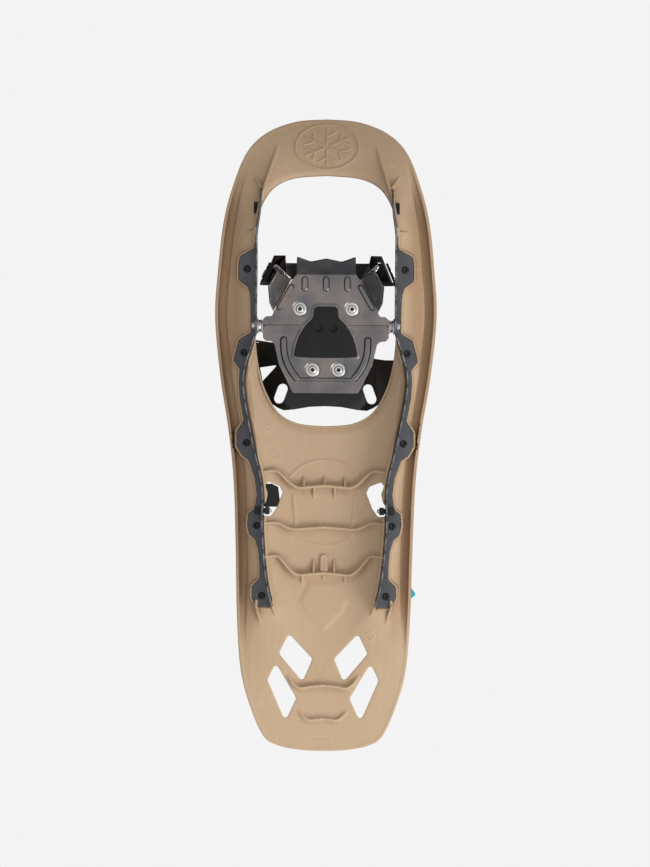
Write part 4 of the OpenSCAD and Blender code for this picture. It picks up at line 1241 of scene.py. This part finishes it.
def build_screws():
    """Pan-head screws with a hexagonal socket, each on a ring washer."""
    heads, washers = [], []
    head = [(0.4, -0.5), (1.75, -0.7), (1.95, -0.9), (2.05, -2.15), (2.5, -2.3), (3.3, -2.05), (4.0, -1.3),
            (4.35, -0.3), (4.3, 0), (2.5, 0), (2.5, 9)]
    ring = [(2.6, 1.0), (2.6, 0.2), (2.9, 0), (5.9, 0), (6.3, 0.25), (6.4, 0.6), (6.4, 1.0)]
    for x, y in screws:
        place = (x, y, PLATE_Z - PLATE_STEP * (y < STEP_Y) - 0.5)
        heads.append(lathe(head, place, (0, 0, 1), 36, flats={1, 2, 3}))
        v, f = lathe(ring, place, (0, 0, 1))
        bore = [(k, (k + 1) % 40, 6 * 40 + (k + 1) % 40, 6 * 40 + k) for k in range(40)]
        washers.append((v, f[:-2] + bore))
    obj = solid("plate_screws", in_pairs(heads), [bright_steel, recess_steel_painted_shade], "binding", "bright_steel",
                ["crampon_screws"], 35)
    # Painted shade: the faces inside each socket take the dark steel
    for face in obj.data.polygons:
        x, y, z = (c / MM for c in face.center)
        if any(math.hypot(abs(x) - sx, y - sy) < 1.9 for sx, sy in screws) and z < PLATE_Z:
            face.material_index = 1
    solid("plate_washers", in_pairs(washers), bright_steel, "binding", "bright_steel", ["crampon_washers"],
          35)


build_screws()
refined("axle", "axle_rod", bright_steel, "binding", 0.6)
refined("axle_clips", "axle_clip_pair", bright_steel, "binding", 0.25)


def build_pivot_springs():
    """On each side of the plate: a wide washer, a coil of spring wire and a hexagonal collar on the axle."""
    coil_r, steps, turns = 5.3, 60, 3
    coil = [(61.9 + 2.2 * k / steps, AXLE_Y + coil_r * math.cos(2 * math.pi * turns * k / steps),
             AXLE_Z + coil_r * math.sin(2 * math.pi * turns * k / steps)) for k in range(steps + 1)]
    washer = lathe([(3.55, 0), (6.6, 0), (6.8, 0.2), (6.8, 0.6), (6.6, 0.8), (3.55, 0.8)],
                   (60.6, AXLE_Y, AXLE_Z), (1, 0, 0))
    collar = lathe([(3.55, 0), (4.1, 0), (4.6, 0.4), (4.6, 2.2), (4.1, 2.7), (3.55, 2.7)],
                   (61.6, AXLE_Y, AXLE_Z), (1, 0, 0), 36, flats={2, 3})
    solid("pivot_springs", in_pairs([tube(coil, 0.62, 10), washer, collar]), bright_steel, "binding",
          "bright_steel", (), 35)


build_pivot_springs()

# ---- Binding ----

SPLAY = 0.41           # how fast the toe cradle's walls draw in towards the toe
CRADLE_SHIFT = 4.0     # how much further in the right wall stands than the left


def splay(obj):
    """Turns the toe cradle's walls, and the strap on them, to narrow with the boot's toe."""
    mesh = obj.data
    place = np.zeros(3 * len(mesh.vertices))
    mesh.vertices.foreach_get("co", place)
    place = place.reshape(-1, 3) / MM
    side = np.sign(place[:, 0])
    share = eased((np.abs(place[:, 0]) - 30) / 24)
    place[:, 0] -= side * share * (SPLAY * (place[:, 1] - 155) + CRADLE_SHIFT * (side > 0))
    mesh.vertices.foreach_set("co", (place * MM).ravel())
    mesh.update()
    return obj


refined("binding_base", "base_frame", black_plastic, "binding", 1.2, 3)
splay(refined("toe_cradle", "cradle_frame", gloss_plastic, "binding", 1.0, 3))


def build_foot_pad():
    """The rubber pad under the ball of the foot, with a tread of chevron grooves."""
    low, high = 30.0, 34.0
    side = smooth([(0, 140), (20, 139.5), (30, 130), (38, 112), (38, 92), (33, 74), (23.5, 61), (21, 50),
                   (16, 45), (0, 44)], 5)
    loop = ccw(resample(whole(side), 1.8, closed=True))
    grooves = [Wall([(0, y, 1.3), (18, y - 9, 1.3), (40, y - 13, 1.3)], 1.6, 0.7) for y in range(54, 152, 9)]
    scatter = Scatter()
    for wall in grooves:
        scatter.add(clear_of(wall.points(), [loop], 4.2), 0.4)
    n = normals(loop, closed=True)
    for offset in (3.0, 3.4, 3.9, 4.6):
        scatter.add(clear_of(np.vstack([loop + n * offset, loop - n * offset]), [loop], 2.5), 0.3)
    scatter.add(clear_of(grid(-39, 39, 44, 141, 2.4), [loop], 1.4), 1.2)
    v, f = plate_mesh([loop], low, high, 0.8, 3, scatter.points)
    top = v[:, 2] > high - 0.1
    cut = np.max([w.drop(v[top, :2]) for w in grooves], 0)
    v[top, 2] -= cut * np.interp(-signed(v[top, :2], loop), [3.2, 3.8], [0, 1])
    outward(mesh_object("foot_pad_tread", v, f, pad_rubber, "binding", "pad_rubber", ["foot_pad"], 40))


build_foot_pad()

# ---- Straps ----

STRAP_T, STRAP_W = 2.2, 22.0


def webbing_material(name, color, bright):
    """Woven webbing: warp ribs that pass over and under the weft, along the strap's own length."""
    m = Nodes(name)
    place = m.node("ShaderNodeUVMap", uv_map="weave").outputs[0]
    split = m.node("ShaderNodeSeparateXYZ", {"Vector": place})
    across, along = split.outputs[0], split.outputs[1]
    rib, pick = 1.3, 1.9                       # millimetres of one warp rib and one weft pick
    column = m.math("DIVIDE", across, rib)
    ribs = m.math("ABSOLUTE", m.math("SINE", m.math("MULTIPLY", column, math.pi)))
    shift = m.math("MULTIPLY", m.math("FLOOR", column), 0.5)
    row = m.math("ADD", m.math("DIVIDE", along, pick), shift)
    over = m.math("SINE", m.math("MULTIPLY", row, 2 * math.pi))
    height = m.math("MULTIPLY", ribs, m.math("MULTIPLY_ADD", over, 0.35, 0.65))
    fuzz = m.noise(0.35, 3, 0.7)
    height = m.math("MULTIPLY_ADD", fuzz, 0.15, height)
    dust = m.ramp(m.noise(14, 5, 0.65), 0.45, 0.75)
    # Painted shade: the weave's low places are darker, down to 0.4 of the colour
    tone = m.mix(m.ramp(height, 0.2, 1.0), tuple(0.4 * c for c in color), color)
    tone = m.mix(m.math("MULTIPLY", dust, 0.3), tone, bright)
    rough = m.ramp(height, 0.2, 1.0, 0.85, 0.66)
    return m.finish(tone, rough, m.bump(height, 0.22), Sheen_Weight=0.25, Sheen_Roughness=0.45)


strap_webbing = webbing_material("strap_webbing", (0.018, 0.018, 0.020), (0.045, 0.045, 0.047))
thread = webbing_material("thread", (0.10, 0.10, 0.105), (0.16, 0.16, 0.16))


def strap_section(width, thick):
    """A strap's section as (across, out) places, anticlockwise, with thicker woven edges."""
    half, edge = width / 2, 0.75
    row = [(half, 0.0), (half - 0.22, 0.62), (half - edge, 1.0), (half - 2.0, 1.0), (half - 2.6, 0.84)]
    row += [(x, 0.84 + 0.05 * math.cos(x / half * 1.5)) for x in np.linspace(half - 5, -half + 5, 7)]
    row += [(-x, z) for x, z in row[4::-1]]
    upper = [(x, z * thick / 2) for x, z in row]
    return upper + [(-x, -z) for x, z in upper[1:-1]]


def swept(stations, width=STRAP_W, thick=STRAP_T):
    """Vertices, faces and weave coordinates of a strap. A station is (centre, across, out)."""
    section = strap_section(width, thick)
    count = len(section)
    centres = np.array([centre for centre, _, _ in stations], float)
    runs = np.r_[0, np.cumsum(np.linalg.norm(np.diff(centres, axis=0), axis=1))]
    girth = np.r_[0, np.cumsum([math.dist(section[k], section[(k + 1) % count]) for k in range(count)])]
    vertices = [tuple(np.array(centre, float) + x * np.array(across) + z * np.array(out))
                for centre, across, out in stations for x, z in section]
    weave = [[(girth[a], runs[b]) for a, b in ((i, k), (i + 1, k), (i + 1, k + 1), (i, k + 1))]
             for k in range(len(stations) - 1) for i in range(count)]
    return vertices, ring_faces(len(stations), count), weave + [section[::-1], section]


def strap_object(name, parts, node):
    """A strap made of swept parts, each with its weave coordinates."""
    vertices, faces = joined([(v, f) for v, f, _ in parts])
    obj = mesh_object(name, vertices, faces, strap_webbing, "binding", "strap_webbing", [node], 50)
    uv = obj.data.uv_layers.new(name="weave")
    uv.data.foreach_set("uv", [c for _, _, weave in parts for face in weave for place in face for c in place])
    return obj


def arch_stations(points, radius, y, slant=0.0, spacing=1.6):
    """Stations along an arch over the foot. The path is in X and Z, and the strap is wide along Y.
    The arch runs forward by `slant` for each millimetre to the right."""
    path = resample(rounded(points, radius, 10), spacing)
    n = normals(path)
    return [((x, y + slant * x, z), (0, -1, 0), (nx, 0, nz)) for (x, z), (nx, nz) in zip(path, n)]


TOE_WALL_X, TOE_WALL_T = 60.0, 3.0         # the middle and the thickness of the toe cradle's walls
WING_X, WING_T = 68.0, 3.4                 # and of the base's side wings
toe_end_x = TOE_WALL_X + TOE_WALL_T / 2 + STRAP_T / 2
wing_strap_x = WING_X + WING_T / 2 + STRAP_T / 2
TOE_Y, TOE_Z = 154.5, 96.0
INSTEP_Y, INSTEP_Z, INSTEP_SLANT = 70.0, 130.0, 0.15
INSTEP_SHIFT = INSTEP_SLANT * wing_strap_x
HEEL_X, HEEL_Z = 36.0, 103.0
HEEL_FRONT, HEEL_WAIST = 18.0, -50.0       # where the heel loop leaves the wings, and where it runs straight
toe_arch = [(toe_end_x, 50), (toe_end_x, 74), (34, TOE_Z), (-34, TOE_Z), (-toe_end_x, 74), (-toe_end_x, 50)]
instep_arch = [(wing_strap_x, 84), (wing_strap_x, 106), (40, INSTEP_Z), (-40, INSTEP_Z), (-wing_strap_x, 106),
               (-wing_strap_x, 84)]
heel_loop = [(wing_strap_x, 44), (wing_strap_x, HEEL_FRONT), (HEEL_X, HEEL_WAIST), (HEEL_X, -101),
             (-HEEL_X, -101), (-HEEL_X, HEEL_WAIST), (-wing_strap_x, HEEL_FRONT), (-wing_strap_x, 44)]
tail_places = [((-41, -40, HEEL_Z), 0, 16), ((-38.6, -74, 102), 4, 3), ((-46, -104, 92), 25, -22),
               ((-58, -125, 76), 50, -32), ((-69, -138.5, 60), 75, -35), ((-76, -147, 50), 90, -35),
               ((-78, -149.9, 50), 90, -35)]


def heel_stations():
    """The heel strap's loop, level round the boot."""
    path = resample(rounded(heel_loop, 34, 12), 1.8)
    return [((x, y, HEEL_Z), (0, 0, 1), (nx, ny, 0)) for (x, y), (nx, ny) in zip(path, normals(path))]


def tail_stations():
    """The heel strap's free end: it peels off the loop, turns flat towards the deck's edge, and narrows into
    its pull tab."""
    keys = np.array([[*place, tilt, heading] for place, tilt, heading in tail_places], float)
    keys = resample(smooth(keys, 12), 1.6)
    out = []
    for k, (x, y, z, tilt, heading) in enumerate(keys):
        share = 0.74 + 0.26 * min(1, (len(keys) - 1 - k) / 9)
        turn = Matrix.Rotation(math.radians(heading), 3, "Z") @ Matrix.Rotation(math.radians(-tilt), 3, "Y")
        out.append(((x, y, z), tuple(share * (turn @ Vector((0, 0, 1)))), tuple(turn @ Vector((1, 0, 0)))))
    return out


splay(strap_object("toe_strap_band", [swept(arch_stations(toe_arch, 14, TOE_Y))], "toe_strap"))
strap_object("instep_strap_band", [swept(arch_stations(instep_arch, 16, INSTEP_Y, INSTEP_SLANT))],
             "instep_strap")
strap_object("heel_strap_band", [swept(heel_stations()), swept(tail_stations(), 18.0)], "heel_strap")


def stitch_run(start, end, out, pitch=3.0, length=2.3, thick=0.42):
    """Thread stitches in a row on a strap's face, each a short rounded bar."""
    a, b, o = Vector(start), Vector(end), Vector(out).normalized()
    along = (b - a).normalized()
    side = along.cross(o)
    sides, rows = 8, [(-0.5, 0.35), (-0.36, 0.85), (0, 1), (0.36, 0.85), (0.5, 0.35)]
    stitch = [along * place * length + (side * math.cos(t) + o * math.sin(t)) * thick * share
              for place, share in rows for t in np.arange(sides) * 2 * math.pi / sides]
    count = max(1, int((b - a).length / pitch))
    centres = [a + (b - a) * ((k + 0.5) / count) for k in range(count)]
    return [([tuple(centre + p) for p in stitch], ring_faces(len(rows), sides)) for centre in centres]


def sewn_box(centre, across, along, out, w, l):
    """A stitched box with a cross in it."""
    c, a, n = Vector(centre), Vector(across) * w / 2, Vector(along) * l / 2
    corners = [c + a + n, c + a - n, c - a - n, c - a + n]
    parts = []
    for i in range(4):
        parts += stitch_run(corners[i], corners[(i + 1) % 4], out)
    return parts + stitch_run(corners[0], corners[2], out) + stitch_run(corners[1], corners[3], out)


def build_stitching(name, parts):
    obj = mesh_object(name, *joined(parts), thread, "binding", "strap_webbing", (), 60)
    obj.data.uv_layers.new(name="weave")
    return obj


def stitch_all():
    """Sewn boxes on both ends of each strap, and one on the instep strap's top."""
    face = STRAP_T / 2 + 0.05
    toe, rest = [], []
    for s in (-1, 1):
        out, wing_x = (s, 0, 0), s * (wing_strap_x + face)
        toe += sewn_box((s * (toe_end_x + face), TOE_Y, 68), (0, 1, 0), (0, 0, 1), out, 15, 7)
        rest += sewn_box((wing_x, INSTEP_Y + s * INSTEP_SHIFT, 101), (0, 1, 0), (0, 0, 1), out, 15, 5)
        rest += sewn_box((wing_x, 24, HEEL_Z), (0, 0, 1), (0, 1, 0), out, 15, 9)
    rest += sewn_box((20, INSTEP_Y + 20 * INSTEP_SLANT, INSTEP_Z + face), (0, 1, 0), (1, INSTEP_SLANT, 0),
                     (0, 0, 1), 15, 9)
    splay(build_stitching("toe_stitching", toe))
    build_stitching("strap_stitching", rest)


stitch_all()


def build_wall_rivets(name, node, places, shift=0.0):
    """Domed button rivets with a dimple, each given by its wall's X, its Y, its Z and the wall's thickness.
    Those on the right lie forward by `shift`, and those on the left as far back."""
    parts = []
    for x, y, z, thick in places:
        outer = thick + STRAP_T
        profile = [(0.6, -1.1), (3.0, -1.1), (3.55, -0.7), (3.6, 0), (2.0, 0), (2.0, outer), (3.95, outer),
                   (4.0, outer + 0.35), (3.5, outer + 0.95), (2.5, outer + 1.25), (1.5, outer + 1.25),
                   (1.1, outer + 0.85), (0.5, outer + 0.8)]
        parts += [lathe(profile, (x - thick / 2, y + shift, z), (1, 0, 0), 28),
                  mirrored_part(lathe(profile, (x - thick / 2, y - shift, z), (1, 0, 0), 28))]
    return solid(name, parts, bright_steel, "binding", "bright_steel", [node], 45)


splay(build_wall_rivets("toe_strap_buttons", "toe_strap_rivets", [(TOE_WALL_X, TOE_Y, 58, TOE_WALL_T)]))
build_wall_rivets("instep_strap_buttons", "instep_strap_rivets",
                  [(WING_X, INSTEP_Y + k, 92, WING_T) for k in (-5, 5)], INSTEP_SHIFT)
build_wall_rivets("heel_strap_buttons", "heel_strap_rivets",
                  [(WING_X, 35, HEEL_Z + k, WING_T) for k in (-5, 5)])

# ---- Buckles and pull tabs ----

HINGE_X, HINGE_H = 7.0, 8.0
TAB_T = 3.0
heel_slope = math.atan2(wing_strap_x - HEEL_X, HEEL_FRONT - HEEL_WAIST)
at_toe = Matrix.Translation((6, TOE_Y, TOE_Z + STRAP_T / 2))


def on_instep_strap(x):
    """A frame on the instep strap's upper face."""
    return (Matrix.Translation((x, INSTEP_Y + INSTEP_SLANT * x, INSTEP_Z + STRAP_T / 2))
            @ Matrix.Rotation(math.atan(INSTEP_SLANT), 4, "Z"))


at_instep = on_instep_strap(-8)
at_heel = (Matrix.Translation((-(wing_strap_x + HEEL_X) / 2, (HEEL_FRONT + HEEL_WAIST) / 2, HEEL_Z))
           @ Matrix.Rotation(math.pi / 2 + heel_slope, 4, "Z") @ Matrix.Rotation(-math.pi / 2, 4, "X")
           @ Matrix.Translation((0, 0, STRAP_T / 2)))


def placed(part, turn):
    """A part's vertices and faces, moved by a matrix."""
    v, f = part
    return [tuple(turn @ Vector(p)) for p in v], f


def bar(a, b, width, tall):
    """A raised grip bar across a lever, between two places in X and Z."""
    (ax, az), (bx, bz) = a, b
    v = []
    for share in (-1, -0.85, 0.85, 1):
        place, top = share * width / 2, tall - (0.35 if abs(share) == 1 else 0)
        v += [(ax, place, az - 0.4), (ax + 0.3 * (bx - ax), place, az + top),
              (ax + 0.7 * (bx - ax), place, bz + top), (bx, place, bz - 0.4)]
    return v, ring_faces(4, 4)


def build_buckle(prefix, turn, lever_body):
    """A buckle's frame, pin and lever, shaped as their CAD nodes, and grip bars on the lever."""
    for node, material, slot, body, edge in (
        ("frame", black_plastic, "black_plastic", "binding", 0.5),
        ("pin", bright_steel, "bright_steel", "binding", 0.35),
        ("lever", gloss_plastic, "gloss_plastic", lever_body, 0.5),
    ):
        refined(f"{prefix}_buckle_{node}", f"{prefix}_{node}_moulded", material, body, edge)
    bars = []
    for k in range(6):
        x = HINGE_X - 10 - 3 * k
        z = HINGE_H + 4.75 - 0.13 * k - (0.12 * max(0, k - 1)) ** 2
        bars.append(placed(bar((x, z), (x - 1.7, z - 0.12), 14, 0.55), turn))
    solid(f"{prefix}_lever_grip", bars, gloss_plastic, lever_body, "gloss_plastic")


build_buckle("toe", at_toe, "toe_lever")
build_buckle("instep", at_instep, "instep_lever")
build_buckle("heel", at_heel, "heel_lever")


def pull_tab(name, node, length, width, turn):
    """A rubber grip moulded round a strap's end, with ribs, a rolled edge and a finger hole."""
    half = width / 2
    loop = rounded([(0, -half), (length, -half), (length, half), (0, half)], 2.6, 5, closed=True)
    loop = ccw(resample(loop, 0.9, closed=True))
    hole = circle(length - 5, 0, 2.2, 15)
    ribs = [Wall([(x, -half + 3, 0.55), (x, half - 3, 0.55)], 0.8, 0.4, mirrored=False)
            for x in np.arange(2.2, length - 8, 2.0)]
    scatter = Scatter()
    for wall in ribs:
        scatter.add(clear_of(wall.points(), [loop, hole], 1.0), 0.3)
    scatter.add(clear_of(grid(0, length, -half, half, 1.1), [loop, hole], 1.0), 0.7)
    v, f = plate_mesh([loop, hole], 0.0, TAB_T, 0.7, 3, scatter.points)
    for level, sign in ((0.0, -1), (TAB_T, 1)):
        at = np.abs(v[:, 2] - level) < 0.02
        v[at, 2] += sign * 0.5 * np.max([w.drop(v[at, :2]) for w in ribs], 0)
    v, f = placed((v, f), turn)
    outward(mesh_object(name, v, f, pull_rubber, "binding", "pull_rubber", [node], 45))


flip_x = Matrix.Rotation(math.pi, 4, "Z")
pull_tab("toe_pull_grip", "toe_pull_tab", 16, 20,
         Matrix.Translation((-14, TOE_Y, TOE_Z + STRAP_T / 2)) @ flip_x)
pull_tab("instep_pull_grip", "instep_pull_tab", 12, 20, on_instep_strap(-27) @ flip_x)
pull_tab("heel_pull_grip", "heel_pull_tab", 11, 14,
         Matrix.Translation((-76, -147, 48.5)) @ Matrix.Rotation(math.radians(-125), 4, "Z")
         @ Matrix.Translation((2, 0, 0)))

# ---- Heel lift ----

LIFT_Y, LIFT_Z, LIFT_X, LIFT_LEG, LIFT_END = -73.5, 38.0, 60.5, 46.0, 51.5
LIFT_SLOPE = math.radians(7)
WIRE_R = 2.0


def build_bail():
    """The wire: out from its inner end at each clip, along each leg and across, with drawn bends."""
    flat = [(LIFT_END, 0), (LIFT_X, 0), (LIFT_X, LIFT_LEG), (-LIFT_X, LIFT_LEG), (-LIFT_X, 0), (-LIFT_END, 0)]
    path = [(x, LIFT_Y + along * math.cos(LIFT_SLOPE), LIFT_Z + along * math.sin(LIFT_SLOPE))
            for x, along in resample(rounded(flat, 3.2, 8), 1.2)]
    solid("bail_wire", [tube(path, WIRE_R, 18)], bright_steel, "heel_lift", "bright_steel",
          ["heel_lift_bail"], 60)


build_bail()
refined("heel_lift_rest", "lift_rest_grip", black_plastic, "heel_lift", 0.6)
refined("heel_lift_flip_tab", "flip_tab_moulded", gloss_plastic, "heel_lift", 0.7)
